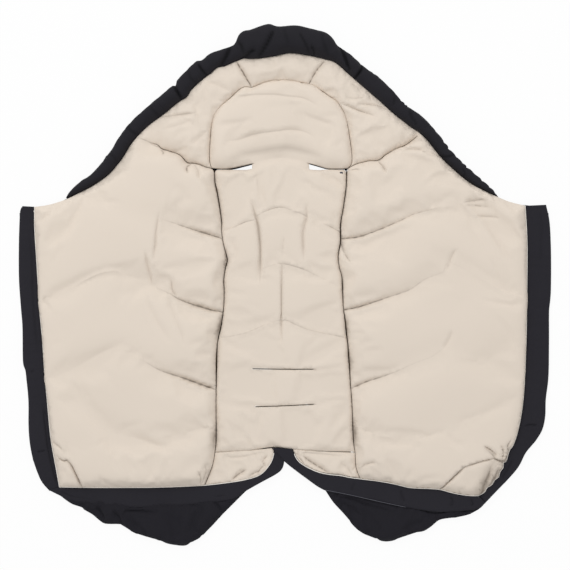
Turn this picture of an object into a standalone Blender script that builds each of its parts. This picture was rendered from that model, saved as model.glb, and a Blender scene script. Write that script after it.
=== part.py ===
"""Quilted footmuff for an infant car seat, opened out flat on its back.

Metres, +Z up. X runs across the footmuff and +Y runs toward the hood. Outlines are
written for one side with x growing outward, and the side's sign places them.
"""
import math

import bmesh
import bpy
from mathutils import Matrix, Vector

# Layers, from the floor up
GAP = 0.0003
SHELL = 0.003
LINING = 0.0015
EDGE_HEIGHT = 0.0088
VALLEY_HEIGHT = 0.0105
CROWN_HEIGHT = 0.026
HEAD_CROWN = 0.020
HOOD_CROWN = 0.016
SEAT_EDGE = 0.0068
SEAT_VALLEY = 0.0082
SEAT_CROWN = 0.012
FOOT_CROWN = 0.011

# Folds
FOLD_X = 0.210
HOOD_FOLD_Y = 0.316
FOLD_HEIGHT = 0.032
HOOD_START = 0.25
HOOD_LOW_SHARE = 0.985

# Openings for the harness
SLIT = 0.0065
STRAP_SLOT = 0.006
CROTCH_SLOT = 0.006
CROTCH_HALF = 0.046
CROTCH_UPPER_Y = -0.129
CROTCH_LOWER_Y = -0.186

# Edge of the hood: where the gathered roll is sewn to the lining, from its outer end to the top
RIM = ((0.334, 0.136), (0.291, 0.158), (0.257, 0.190), (0.240, 0.218), (0.210, 0.250),
       (0.155, 0.294), (0.105, 0.332), (0.077, 0.347), (0.040, 0.354), (0.0, 0.359))
ROLL_END = 0.022
ROLL_SIDE = 0.025
ROLL_TOP = 0.044
ROLL_HEIGHT = 0.0295
ROLL_GATHER = 0.0018
GATHER_PITCH = 0.022
ELASTIC = 0.005
ELASTIC_BORE = 0.008
ELASTIC_ACROSS = 0.52
ELASTIC_UP = 0.42
SIDE_SHARE = 0.55

# Head panel, seat panel and neck seam
NECK_INNER = (0.110, 0.184)
NECK = (NECK_INNER, (0.130, 0.186), (0.160, 0.198), (FOLD_X, 0.222))
ARCH = (NECK_INNER, (0.111, 0.225), (0.107, 0.255), (0.090, 0.283), (0.056, HOOD_FOLD_Y))
SEAT_SEAM_HALF = 0.051
SEAT_SEAM_Y = 0.187
SEAT_SEAM_RISE = 0.010
SEAT_CORNER_Y = 0.174
SEAT_BOTTOM_Y = -0.256
SLIT_LINE = (NECK_INNER, (0.100, 0.146), (0.095, 0.110), (0.090, 0.075), (0.087, 0.040),
             (0.092, -0.020), (0.096, -0.050), (0.104, -0.110), (0.106, -0.160), (0.108, SEAT_BOTTOM_Y))
SEAT_CHEVRONS = ((-0.080, -0.053), (-0.004, 0.031), (0.081, 0.118))
SEAT_LOW_ROWS = (-0.238, -0.212)
SEAT_MIDDLE_ROW = (-0.104, -0.098)
SEAT_HIGH_ROW = (0.128, 0.152)
LOW_ROW_RISE = 0.6
SLOT_RISE = 0.45
TOP_RISE = 0.4

# Quilted channels of a wing: heights along Y at the slit, the fold, the peak and the outer edge.
# The first runs to the outer end of the roll, so it has no height at the outer edge.
CHANNELS = ((0.072, 0.112, 0.127, None), (-0.040, 0.001, 0.028, -0.022),
            (-0.160, -0.122, -0.100, -0.150), (SEAT_BOTTOM_Y, -0.243, -0.224, -0.256))
PEAK_X = 0.260

# Foot end: lining edge from the fold to the middle, then the outer corner of each wing
FOOT_SEAM = (0.122, -0.309)
FOOT_RIM = ((FOLD_X, -0.314), (0.165, -0.311), FOOT_SEAM, (0.085, -0.302), (0.058, -0.297),
            (0.035, -0.288), (0.021, -0.275), (0.0165, -0.262))
FOOT_EDGE_SHARE = 0.37
FOOT_EDGE_DROP = 0.002
MIDDLE_GAP = 0.003
BAND_WIDTH = 0.027
BAND_END = 0.0135
BAND_TAPER = 0.085
BAND_LEAN = 0.2
LEAST_WIDTH = 0.0005

# The two wings differ: the facing of the right one is wider and its corner is rounder.
# A wing's corner is the last point of its facing seam. The lobe's outline starts beyond the fold,
# at shares of the way from the fold to that corner, and goes on over the back.
SIDES = {
    "left": {
        "sign": -1,
        "facing_width": 0.024,
        "corner_width": 0.015,
        "facing_seam": ((0.389, 0.122), (0.389, 0.036), (0.383, -0.038), (0.377, -0.112),
                        (0.372, -0.187), (0.361, -0.256), (0.352, -0.311)),
        "lobe_on_flap": ((0.95, -0.335), (0.64, -0.355), (0.29, -0.374)),
        "lobe_on_back": ((FOLD_X, -0.391), (0.178, -0.400), (0.155, -0.4015), (0.125, -0.382),
                         (0.095, -0.352), (0.062, -0.325)),
    },
    "right": {
        "sign": 1,
        "facing_width": 0.036,
        "corner_width": 0.020,
        "facing_seam": ((0.374, 0.122), (0.376, 0.036), (0.375, -0.038), (0.374, -0.094),
                        (0.371, -0.168), (0.363, -0.220), (0.347, -0.258), (0.330, -0.295), (0.308, -0.326)),
        "lobe_on_flap": ((1.10, -0.349), (0.71, -0.356), (0.36, -0.365)),
        "lobe_on_back": ((FOLD_X, -0.381), (0.178, -0.394), (0.152, -0.397), (0.125, -0.386),
                         (0.095, -0.355), (0.062, -0.325)),
    },
}
LOBE_CROWN = 0.015
LOBE_EDGE = 0.004
LOBE_ROOM = 0.03
LOBE_ROWS = ((0.12, 0.7), (0.4, 1.0), (0.75, 0.85), (1.0, 0.0))

# Zip: tape and coil hang over the shell's edge, under the facing
FACING = 0.0012
TAPE = 0.0006
TAPE_WIDTH = 0.011
COIL_WIDTH = 0.0036
COIL_HEIGHT = 0.0014
TAPE_LIP = 0.0002
ZIP_INSET = 0.004
ZIP_OVERHANG = 0.014
ZIP_STRAIGHT_END = -0.186
ZIP_TOP = 0.112
SLIDER_LENGTH = 0.012
SLIDER_PLATE = 0.0011
SLIDER_REACH = 0.0045
SLIDER_START = 0.003
LUG_IN = 0.0031
LUG_LENGTH = 0.003
LUG_INSET = 0.0001
PULL_LOW = 0.0005
PULL_LENGTH = 0.022
PULL_THICK = 0.001
PULL_SPREAD = 1.5
STOP_LENGTH = 0.004

# Mesh counts
CHANNEL_ROWS = 4
SIDE_COLUMNS = 4
FLAP_COLUMNS = 4
EDGE_COLUMNS = 2
FOOT_COLUMNS = 6
FOOT_ROWS = 3
RIM_STEPS = 4
ARCH_STEPS = 5
SEAT_TOP_STEPS = 3
NECK_STEPS = 2
MIDDLE_COLUMNS = (2, 6)
CROTCH_ROWS = (3, 6)
HOOD_COLUMNS = 6
HOOD_ROWS = 3
ROLL_SAMPLES = 160
TIP_SAMPLES = 6
SECTION_POINTS = 8
DENSE = 16

tape_low = SHELL + GAP
coil_low = tape_low + TAPE + GAP
slider_top = coil_low + COIL_HEIGHT + GAP
facing_low = slider_top + SLIDER_PLATE + GAP


def vec(point):
    return Vector((point[0], point[1]))


def smooth(points):
    """Dense curve through hand-placed points."""
    knots = [vec(p) for p in points]
    ends = [2 * knots[0] - knots[1]] + knots + [2 * knots[-1] - knots[-2]]
    curve = []
    for a, b, c, d in zip(ends, ends[1:], ends[2:], ends[3:]):
        for step in range(DENSE):
            t = step / DENSE
            curve.append(0.5 * (2 * b + (c - a) * t + (2 * a - 5 * b + 4 * c - d) * t * t
                                + (3 * b - a - 3 * c + d) * t ** 3))
    return curve + [knots[-1]]


def resample(curve, cells):
    """Points at equal steps along a curve, ends kept."""
    marks = [0.0]
    for a, b in zip(curve, curve[1:]):
        marks.append(marks[-1] + (b - a).length)
    points = []
    k = 0
    for i in range(cells + 1):
        goal = marks[-1] * i / cells
        while k < len(curve) - 2 and marks[k + 1] < goal:
            k += 1
        span = marks[k + 1] - marks[k]
        points.append(curve[k].lerp(curve[k + 1], (goal - marks[k]) / span))
    return points


def split(curve, axis, value):
    """The two stretches of a curve on either side of a line x = value or y = value."""
    for k, (a, b) in enumerate(zip(curve, curve[1:])):
        if (a[axis] - value) * (b[axis] - value) <= 0 and a[axis] != b[axis]:
            cross = a.lerp(b, (value - a[axis]) / (b[axis] - a[axis]))
            cross[axis] = value
            before = [p for p in curve[:k + 1] if (p - cross).length > 1e-6]
            after = [p for p in curve[k + 1:] if (p - cross).length > 1e-6]
            return before + [cross], [cross] + after
    raise ValueError("the curve never reaches that line")


def x_at(curve, y):
    """x of a curve that runs down the footmuff, at height y."""
    for a, b in zip(curve, curve[1:]):
        if (a.y - y) * (b.y - y) <= 0 and a.y != b.y:
            return a.x + (b.x - a.x) * (y - a.y) / (b.y - a.y)
    return curve[0].x if abs(curve[0].y - y) < abs(curve[-1].y - y) else curve[-1].x


def normals(points):
    """Unit normals to the left of the way along an open line."""
    found = []
    for k in range(len(points)):
        way = points[min(k + 1, len(points) - 1)] - points[max(k - 1, 0)]
        found.append(Vector((-way.y, way.x)).normalized())
    return found


def offset(points, widths):
    """A line moved to its left by a width at each point."""
    return [p + n * w for p, n, w in zip(points, normals(points), widths)]


def ease(t):
    return t * t * (3 - 2 * t)


def patch(low, high, start, end):
    """Grid spanned between four edges that meet at their ends."""
    rows, columns = len(start), len(low)
    grid = []
    for r in range(rows):
        v = r / (rows - 1)
        row = []
        for c in range(columns):
            u = c / (columns - 1)
            corners = (low[0] * (1 - u) * (1 - v) + low[-1] * u * (1 - v)
                       + high[0] * (1 - u) * v + high[-1] * u * v)
            row.append(low[c] * (1 - v) + high[c] * v + start[r] * (1 - u) + end[r] * u - corners)
        grid.append(row)
    return grid


def all_cells(grid):
    return {(r, c) for r in range(len(grid) - 1) for c in range(len(grid[0]) - 1)}


def border(cells):
    """Next vertex along the border, for each border vertex of a set of grid cells."""
    edges = set()
    for r, c in cells:
        ring = ((r, c), (r, c + 1), (r + 1, c + 1), (r + 1, c))
        edges.update(zip(ring, ring[1:] + ring[:1]))
    return {a: b for a, b in edges if (b, a) not in edges}


def loop_of(following):
    start = min(following)
    loop = [start]
    while following[loop[-1]] != start:
        loop.append(following[loop[-1]])
    return loop


def area(points):
    return sum(a.x * b.y - b.x * a.y for a, b in zip(points, points[1:] + points[:1])) / 2


def moved_in(before, here, after, distance, turn):
    """A corner moved into a counter-clockwise outline, the same way from both its edges."""
    one = (here - before).normalized()
    two = (after - here).normalized()
    n1 = Vector((-one.y, one.x)) * turn
    n2 = Vector((-two.y, two.x)) * turn
    return here + (n1 + n2) * distance / max(0.5, 1 + n1.dot(n2))


def shrunk(outline, distance=GAP * 0.6):
    """Closed outline drawn in for the clearance to its neighbours."""
    turn = 1 if area(outline) > 0 else -1
    count = len(outline)
    return [moved_in(outline[k - 1], outline[k], outline[(k + 1) % count], distance, turn) for k in range(count)]


def new_object(name, vertices, faces, material, parent=None):
    mesh = bpy.data.meshes.new(name)
    mesh.from_pydata([tuple(v) for v in vertices], [], faces)
    mesh.materials.append(material)
    for polygon in mesh.polygons:
        polygon.use_smooth = True
    mesh.set_sharp_from_angle(angle=math.radians(50))
    thing = bpy.data.objects.new(name, mesh)
    bpy.context.collection.objects.link(thing)
    if parent:
        thing.parent = parent
        thing.matrix_parent_inverse = Matrix.Translation(-parent.location)
    return thing


def pad(name, sign, grid, cells, top, low, material, parent=None):
    """Closed pad over grid cells. top and low give a height for each grid vertex."""
    following = border(cells)
    before = {b: a for a, b in following.items()}
    corner = next(iter(cells))
    ring = [grid[corner[0]][corner[1]], grid[corner[0]][corner[1] + 1],
            grid[corner[0] + 1][corner[1] + 1], grid[corner[0] + 1][corner[1]]]
    turn = 1 if area(ring) > 0 else -1
    flip = turn * sign < 0
    index = {}
    vertices = []
    used = sorted({(r + i, c + j) for r, c in cells for i in (0, 1) for j in (0, 1)})
    for key in used:
        place = grid[key[0]][key[1]]
        if key in following:
            b, a = before[key], following[key]
            place = moved_in(grid[b[0]][b[1]], place, grid[a[0]][a[1]], GAP * 0.6, turn)
        index[key] = len(vertices)
        vertices.append((place.x * sign, place.y, top[key[0]][key[1]]))
    count = len(vertices)
    vertices += [(v[0], v[1], low[key[0]][key[1]]) for v, key in zip(vertices, used)]
    faces = []
    flat = len({round(low[r][c], 7) for r, c in used}) == 1
    single = len(loop_of(following)) == len(following)
    for r, c in sorted(cells):
        a, b, d, e = (index[r, c], index[r, c + 1], index[r + 1, c + 1], index[r + 1, c])
        faces += [(a, b, d), (a, d, e)]
        if not (flat and single):
            faces += [(d + count, b + count, a + count), (e + count, d + count, a + count)]
    if flat and single:
        faces.append(tuple(index[key] + count for key in reversed(loop_of(following))))
    for a, b in sorted(following.items()):
        faces.append((index[a], index[a] + count, index[b] + count, index[b]))
    if flip:
        faces = [tuple(reversed(face)) for face in faces]
    keep = sorted({k for face in faces for k in face})
    renumber = {k: n for n, k in enumerate(keep)}
    return new_object(name, [vertices[k] for k in keep],
                      [tuple(renumber[k] for k in face) for face in faces], material, parent)


def plate(name, sign, outline, low, high, material, parent=None):
    """Flat plate of one thickness inside a closed outline."""
    points = [Vector((p.x * sign, p.y)) for p in shrunk(outline)]
    if area(points) < 0:
        points.reverse()
    count = len(points)
    vertices = [(p.x, p.y, low) for p in points] + [(p.x, p.y, high) for p in points]
    faces = [tuple(reversed(range(count))), tuple(range(count, 2 * count))]
    faces += [(k, (k + 1) % count, count + (k + 1) % count, count + k) for k in range(count)]
    return new_object(name, vertices, faces, material, parent)


def level(grid, height):
    return [[height] * len(row) for row in grid]


def lowered(heights, amount):
    return [[h - amount for h in row] for row in heights]


def padded(name, sign, grid, cells, top, materials, parent=None, base=SHELL):
    """Lining over wadding, both over the grid's cells."""
    under = lowered(top, LINING)
    pad(name + "_lining", sign, grid, cells, top, under, materials["lining"], parent)
    pad(name + "_wadding", sign, grid, cells, lowered(under, GAP), level(grid, base + GAP),
        materials["wadding"], parent)


def puff(low, crown, share):
    return low + (crown - low) * math.sin(math.pi * share) ** 0.6


def strip(name, sign, inner, outer, low, high, material, parent=None):
    """Flat strip between two lines of equal count."""
    return plate(name, sign, list(inner) + list(reversed(outer)), low, high, material, parent)


def loft(name, rings, material, parent=None, bores=None):
    """Closed solid along rings of points, with an open bore along it if bores are given."""
    count = len(rings[0])
    vertices = [p for ring in rings for p in ring]
    faces = []

    def skin(start, steps, inward):
        for s in range(steps - 1):
            for k in range(count):
                a = start + s * count + k
                b = start + s * count + (k + 1) % count
                face = (a, b, b + count, a + count)
                faces.append(tuple(reversed(face)) if inward else face)

    skin(0, len(rings), False)
    last = (len(rings) - 1) * count
    if bores:
        base = len(vertices)
        vertices += [p for ring in bores for p in ring]
        skin(base, len(bores), True)
        for k in range(count):
            n = (k + 1) % count
            faces.append((n, k, base + k, base + n))
            faces.append((last + k, last + n, base + last + n, base + last + k))
    else:
        faces.append(tuple(reversed(range(count))))
        faces.append(tuple(range(last, last + count)))
    thing = new_object(name, vertices, faces, material, parent)
    shape = bmesh.new()
    shape.from_mesh(thing.data)
    bmesh.ops.recalc_face_normals(shape, faces=shape.faces)
    shape.to_mesh(thing.data)
    shape.free()
    return thing


def joined(base, others):
    """One body from overlapping ones."""
    for other in others:
        union = base.modifiers.new("join", "BOOLEAN")
        union.operation = "UNION"
        union.object = other
        other.hide_render = True
        other.display_type = "WIRE"
    return base


def make_material(name, colour, roughness, metallic=0.0):
    material = bpy.data.materials.new(name)
    material.use_nodes = True
    shader = material.node_tree.nodes["Principled BSDF"]
    shader.inputs["Base Color"].default_value = (*colour, 1.0)
    shader.inputs["Roughness"].default_value = roughness
    shader.inputs["Metallic"].default_value = metallic
    return material


def hinge_empty(name, place):
    empty = bpy.data.objects.new(name, None)
    empty.location = place
    bpy.context.collection.objects.link(empty)
    return empty


def roll_section(inner, outer, height):
    """Eight points round the gathered roll, and eight round its elastic channel."""
    shape = ((0.0, 0.20), (0.0, 0.55), (0.18, 0.86), (0.45, 1.0), (0.78, 0.82), (1.0, 0.36), (0.92, 0.0), (0.06, 0.0))
    across = outer - inner
    ring = []
    for u, z in shape:
        place = inner + across * u
        ring.append((place.x, place.y, height * z))
    return ring


def round_section(inner, outer, height, radius):
    across = outer - inner
    middle = inner + across * ELASTIC_ACROSS
    unit = across.normalized()
    ring = []
    for k in range(SECTION_POINTS):
        turn = math.pi - 2 * math.pi * (k - 0.5) / SECTION_POINTS
        place = middle + unit * radius * math.cos(turn)
        ring.append((place.x, place.y, height * ELASTIC_UP + radius * math.sin(turn)))
    return ring


def gathered_roll(name, inner, outer, materials, parent=None):
    """Elasticated casing between two lines, folded by its gathers, with the elastic inside."""
    rings, bores, cord = [], [], []
    for k, (a, b) in enumerate(zip(inner, outer)):
        fold = 1 if k % 2 else -1
        edge = 0 if k in (0, len(inner) - 1) else fold
        out = b + (b - a).normalized() * ROLL_GATHER * (edge - 1) * 0.5
        rings.append(roll_section(a + (b - a).normalized() * GAP, out, ROLL_HEIGHT + ROLL_GATHER * (edge - 1)))
        bores.append(round_section(a, b, ROLL_HEIGHT, ELASTIC_BORE / 2))
        if k % 2 == 0 or k == len(inner) - 1:
            cord.append(round_section(a, b, ROLL_HEIGHT, ELASTIC / 2))
    loft(name + "_casing", rings, materials["edge"], parent, bores)
    loft(name + "_elastic", cord, materials["elastic"], parent)


def even(points, pitch):
    """A line of straight runs, cut into an even number of steps near a pitch, corners kept."""
    cut = [points[0]]
    for a, b in zip(points, points[1:]):
        steps = max(1, round((b - a).length / pitch))
        cut += [a.lerp(b, k / steps) for k in range(1, steps + 1)]
    return cut


def roll_width(share):
    """Width of the roll from its outer end (0) past the fold to the top of the hood (1)."""
    if share < SIDE_SHARE:
        return ROLL_END + (ROLL_SIDE - ROLL_END) * share / SIDE_SHARE
    return ROLL_SIDE + (ROLL_TOP - ROLL_SIDE) * ease((share - SIDE_SHARE) / (1 - SIDE_SHARE))


def roll_edges():
    """Dense inner and outer edges of the roll on one side, outer end first."""
    rim = resample(smooth(RIM), ROLL_SAMPLES)
    widths = [roll_width(k / ROLL_SAMPLES) for k in range(ROLL_SAMPLES + 1)]
    outer = offset(rim, [-w for w in widths])
    outer[-1].x = 0.0
    return rim, outer


def wing_rows(side):
    """Seam lines of a wing, each as (slit to fold) and (fold to outer edge)."""
    slit = smooth(SLIT_LINE)
    seam = smooth(side["facing_seam"])
    rim, _ = roll_edges()
    on_flap, _ = split(rim, 0, FOLD_X)
    rim_run = list(reversed(on_flap))
    tip = rim_run[-1]
    cells = FLAP_COLUMNS
    inner_rows = [resample(smooth(NECK), SIDE_COLUMNS)]
    outer_rows = [resample(rim_run[:-TIP_SAMPLES], cells)]
    top_corner = vec(side["facing_seam"][0])
    for slit_y, fold_y, peak_y, edge_y in CHANNELS:
        start = Vector((x_at(slit, slit_y), slit_y))
        fold = Vector((FOLD_X, fold_y))
        inner_rows.append(resample([start, fold], SIDE_COLUMNS))
        if edge_y is None:
            first = resample(smooth((fold, (PEAK_X, peak_y), tip)), cells)
            outer_rows.append(first + resample([tip, top_corner], EDGE_COLUMNS)[1:])
        else:
            edge = Vector((x_at(seam, edge_y), edge_y))
            peak = Vector((PEAK_X, peak_y))
            run = smooth((fold, peak, peak.lerp(edge, 0.5), edge))
            outer_rows.append(resample(run, cells + EDGE_COLUMNS))
    foot = smooth(FOOT_RIM)
    inner_rows.append(list(reversed(resample(split(foot, 0, FOOT_SEAM[0])[0], SIDE_COLUMNS))))
    corner = vec(side["facing_seam"][-1])
    below = vec(FOOT_RIM[0]).lerp(corner, FOOT_EDGE_SHARE) - Vector((0, FOOT_EDGE_DROP))
    last = smooth((FOOT_RIM[0], below, corner))
    outer_rows.append(resample(last, cells + EDGE_COLUMNS))
    return inner_rows, outer_rows, slit, seam


def between(rows, first_edge=None, last_edge=None):
    """Grid with CHANNEL_ROWS steps between seam lines, and the share of the channel at each row."""
    grid, shares = [], []
    for a, b in zip(rows, rows[1:]):
        if len(a) < len(b):
            a = a + [a[-1]] * (len(b) - len(a))
        for step in range(CHANNEL_ROWS):
            t = step / CHANNEL_ROWS
            grid.append([p.lerp(q, t) for p, q in zip(a, b)])
            shares.append(t)
    grid.append(list(rows[-1]))
    shares.append(0.0)
    for r, row in enumerate(grid):
        if first_edge and 0 < r < len(grid) - 1 - CHANNEL_ROWS:
            row[0] = Vector((x_at(first_edge, row[0].y), row[0].y))
        if last_edge and CHANNEL_ROWS <= r < len(grid) - 1:
            row[-1] = Vector((x_at(last_edge, row[-1].y), row[-1].y))
    return grid, shares


def quilt_heights(grid, shares, closed_start, closed_end, cells):
    """Top of the lining: valleys at the seams, crowns between, low at the sewn borders."""
    following = border(cells)
    heights = []
    for r, row in enumerate(grid):
        line = []
        for c in range(len(row)):
            h = puff(VALLEY_HEIGHT, CROWN_HEIGHT, shares[r])
            inside = (r, c) not in following
            fold_column = (c == len(row) - 1 and not closed_end) or (c == 0 and not closed_start)
            ends = r in (0, len(grid) - 1)
            if not inside and (ends or not fold_column):
                h = EDGE_HEIGHT
            line.append(h)
        heights.append(line)
    return heights


def make_wing(key, side, materials, bodies):
    """Side section on the back, flap beyond the fold, facing, zip half and foot shell of one side."""
    sign = side["sign"]
    flap = bodies[key + "_flap"]
    inner_rows, outer_rows, slit, seam = wing_rows(side)

    grid, shares = between(inner_rows, first_edge=slit)
    cells = all_cells(grid)
    top = quilt_heights(grid, shares, True, False, cells)
    padded(key + "_side", sign, grid, cells, top, materials)
    side_edge = list(reversed(grid[-1]))
    slit_edge = [row[0] for row in grid]

    grid, shares = between(outer_rows, last_edge=seam)
    cells = {(r, c) for r, c in all_cells(grid) if r >= CHANNEL_ROWS or c < FLAP_COLUMNS}
    top = quilt_heights(grid, shares, False, True, cells)
    padded(key + "_flap", sign, grid, cells, top, materials, flap)

    run = [row[-1] for row in grid[CHANNEL_ROWS:]] + list(reversed(grid[-1]))[1:]
    corner_at = len(grid) - 1 - CHANNEL_ROWS
    widths = []
    for k in range(len(run)):
        near = abs(k - corner_at)
        base = side["facing_width"] if k < corner_at else BAND_WIDTH
        widths.append(side["corner_width"] if near == 0 else base)
    outward = [n * -1 for n in normals(run)]
    if outward[0].x < 0:
        outward = [n * -1 for n in outward]
    outward[-1] = Vector((0, -1))

    def out(distance):
        return [p + n * max(LEAST_WIDTH, w + distance) for p, n, w in zip(run, outward, widths)]

    strip(key + "_facing", sign, [p + n * GAP for p, n in zip(run, outward)], out(0),
          facing_low, facing_low + FACING, materials["facing"], flap)
    shell_edge = out(-ZIP_OVERHANG)
    rim_samples = list(outer_rows[0]) + [outer_rows[1][FLAP_COLUMNS]]
    rim_side = rim_samples + resample([rim_samples[-1], run[0]], EDGE_COLUMNS)[1:-1]
    outline = rim_side + [run[0]] + shell_edge
    plate(key + "_flap_shell", sign, outline, 0.0, SHELL, materials["shell"], flap)

    zip_run = zip_half(key, sign, out(-ZIP_INSET), materials, flap)
    return {"slit": slit_edge, "foot": side_edge, "rim": rim_samples, "zip": zip_run,
            "shell_edge": shell_edge[corner_at:], "band_outer": out(0)[corner_at:]}


def zip_line(points):
    """Line of the zip: straight along the facing, then round the corner beside the band."""
    top = Vector((x_at(points, ZIP_TOP), ZIP_TOP))
    bottom = Vector((x_at(points, ZIP_STRAIGHT_END), ZIP_STRAIGHT_END))
    rest = [p for p in points if p.y < ZIP_STRAIGHT_END - SLIDER_LENGTH]
    return [top, bottom] + rest


def zip_half(key, sign, points, materials, flap):
    """Tape and coil of one half of the zip, with its top stop."""
    line = zip_line(points)
    side_normals = normals(line)
    if side_normals[0].x < 0:
        side_normals = [n * -1 for n in side_normals]
    side_normals[-1] = Vector((0, -1))
    reach = COIL_WIDTH / 2
    tape_in = [p - n * TAPE_WIDTH for p, n in zip(line, side_normals)]
    tape_out = [p + n * (reach + TAPE_LIP) for p, n in zip(line, side_normals)]
    strip(key + "_zip_tape", sign, tape_in, tape_out, tape_low, tape_low + TAPE, materials["tape"], flap)
    first = (line[1] - line[0]).normalized()
    coil_line = [line[0] + first * (STOP_LENGTH + GAP)] + line[1:]
    coil_in = [p - n * reach for p, n in zip(coil_line, side_normals)]
    coil_out = [p + n * reach for p, n in zip(coil_line, side_normals)]
    strip(key + "_zip_coil", sign, coil_in, coil_out, coil_low, coil_low + COIL_HEIGHT, materials["coil"], flap)
    stop_in = [line[0] - side_normals[0] * reach, line[0] - side_normals[0] * reach + first * STOP_LENGTH]
    stop_out = [line[0] + side_normals[0] * reach, line[0] + side_normals[0] * reach + first * STOP_LENGTH]
    strip(key + "_zip_top_stop", sign, stop_in, stop_out, coil_low, coil_low + COIL_HEIGHT, materials["metal"], flap)
    return line[:2]


def foot_end(key, side, wing, materials, flap):
    """Foot band, collapsed foot shell and zip of one side, from the fold to the middle."""
    sign = side["sign"]
    rim = smooth(FOOT_RIM)
    inner_part = split(rim, 0, FOOT_SEAM[0])[1]
    lining_rim = resample(inner_part, FOOT_COLUMNS)
    run = wing["foot"][:-1] + lining_rim
    outward = normals(run)
    if outward[0].y > 0:
        outward = [n * -1 for n in outward]
    outward[0] = Vector((0, -1))
    outward[-1] = Vector((-1, -BAND_LEAN)).normalized()
    marks = [0.0]
    for a, b in zip(run, run[1:]):
        marks.append(marks[-1] + (b - a).length)
    start = marks[-1] - BAND_TAPER
    widths = [BAND_WIDTH + (BAND_END - BAND_WIDTH) * ease(min(1, max(0, (m - start) / BAND_TAPER))) for m in marks]

    def out(distance):
        points = [p + n * max(LEAST_WIDTH, w + distance) for p, n, w in zip(run, outward, widths)]
        return [Vector((max(p.x, MIDDLE_GAP / 2), p.y)) for p in points]

    band_outer = out(0)
    strip(key + "_foot_facing", sign, [p + n * GAP for p, n in zip(run, outward)], band_outer,
          facing_low, facing_low + FACING, materials["facing"])
    coil_in, coil_out = out(-ZIP_INSET - COIL_WIDTH / 2), out(-ZIP_INSET + COIL_WIDTH / 2)
    strip(key + "_foot_zip_tape", sign, out(-ZIP_INSET - TAPE_WIDTH), coil_out,
          tape_low, tape_low + TAPE, materials["tape"])
    strip(key + "_foot_zip_coil", sign, coil_in, coil_out, coil_low, coil_low + COIL_HEIGHT, materials["coil"])

    shell_edge = out(-ZIP_OVERHANG)
    seam_at = len(wing["foot"]) - 1
    neck = resample(smooth(NECK), SIDE_COLUMNS)
    outline = wing["slit"] + list(reversed(shell_edge[:seam_at + 1])) + list(reversed(neck[1:]))
    plate(key + "_side_shell", sign, outline, 0.0, SHELL, materials["shell"])

    corner_x = side["facing_seam"][-1][0]
    beyond = [(FOLD_X + (corner_x - FOLD_X) * share, y) for share, y in side["lobe_on_flap"]]
    on_flap, on_back = split(smooth(beyond + list(side["lobe_on_back"])), 0, FOLD_X)
    last = next(k for k, p in enumerate(run) if p.x < side["lobe_on_back"][-1][0])
    lobe(key + "_foot_shell_inner", sign, shell_edge[:last], band_outer[:last], on_back, materials)
    lobe(key + "_foot_shell_outer", sign, wing["shell_edge"], wing["band_outer"], on_flap, materials, flap)

    middle = Vector((FOOT_RIM[-1][0] + GAP, SEAT_BOTTOM_Y))
    seat_corner = Vector((SLIT_LINE[-1][0], SEAT_BOTTOM_Y))
    top_edge = resample([seat_corner, middle], FOOT_COLUMNS)
    seam_edge = resample([seat_corner, vec(FOOT_SEAM)], FOOT_ROWS)
    end_edge = resample([top_edge[-1], lining_rim[-1]], FOOT_ROWS)
    grid = patch(top_edge, lining_rim, seam_edge, end_edge)
    cells = all_cells(grid)
    following = border(cells)
    top = [[EDGE_HEIGHT if (r, c) in following else FOOT_CROWN for c in range(len(row))] for r, row in enumerate(grid)]
    pad(key + "_foot_lining", sign, grid, cells, top, level(grid, SHELL + GAP), materials["lining"])
    return [seat_corner] + shell_edge[seam_at:]


def lobe(name, sign, shell_edge, band_edge, outline, materials, parent=None):
    """Collapsed foot shell: flat under the band, swelling beyond it to its outline."""
    count = len(band_edge) - 1
    edge = resample(outline, count)
    flat_to = [p + (q - p).normalized() * LEAST_WIDTH for p, q in zip(band_edge, edge)]
    grid = [list(shell_edge), flat_to]
    heights = [[SHELL] * (count + 1)] * 2
    for share, rise in LOBE_ROWS:
        row = [p.lerp(q, share) for p, q in zip(flat_to, edge)]
        room = [min(1.0, (q - p).length / LOBE_ROOM) for p, q in zip(flat_to, edge)]
        grid.append(row)
        heights.append([LOBE_EDGE + (LOBE_CROWN - LOBE_EDGE) * rise * k for k in room])
    pad(name, sign, grid, all_cells(grid), heights, level(grid, 0.0), materials["shell"], parent)


def make_foot_base(edges, materials):
    """Shell under both foot linings, from the seat panel down to the foot band."""
    left, right = edges
    outline = [Vector((-p.x, p.y)) for p in left] + list(reversed(right))
    plate("foot_base_shell", 1, outline, 0.0, SHELL, materials["shell"])
    half = FOOT_RIM[-1][0] - BAND_END + ZIP_INSET - COIL_WIDTH / 2 - 2 * GAP
    middle = FOOT_RIM[-1][1] - BAND_LEAN * (BAND_END - ZIP_INSET)
    stop = [Vector((x, middle + y)) for x, y in ((-half, -STOP_LENGTH / 2), (half, -STOP_LENGTH / 2),
                                                 (half, STOP_LENGTH / 2), (-half, STOP_LENGTH / 2))]
    plate("zip_bottom_stop", 1, stop, tape_low, coil_low + COIL_HEIGHT, materials["metal"])


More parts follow.
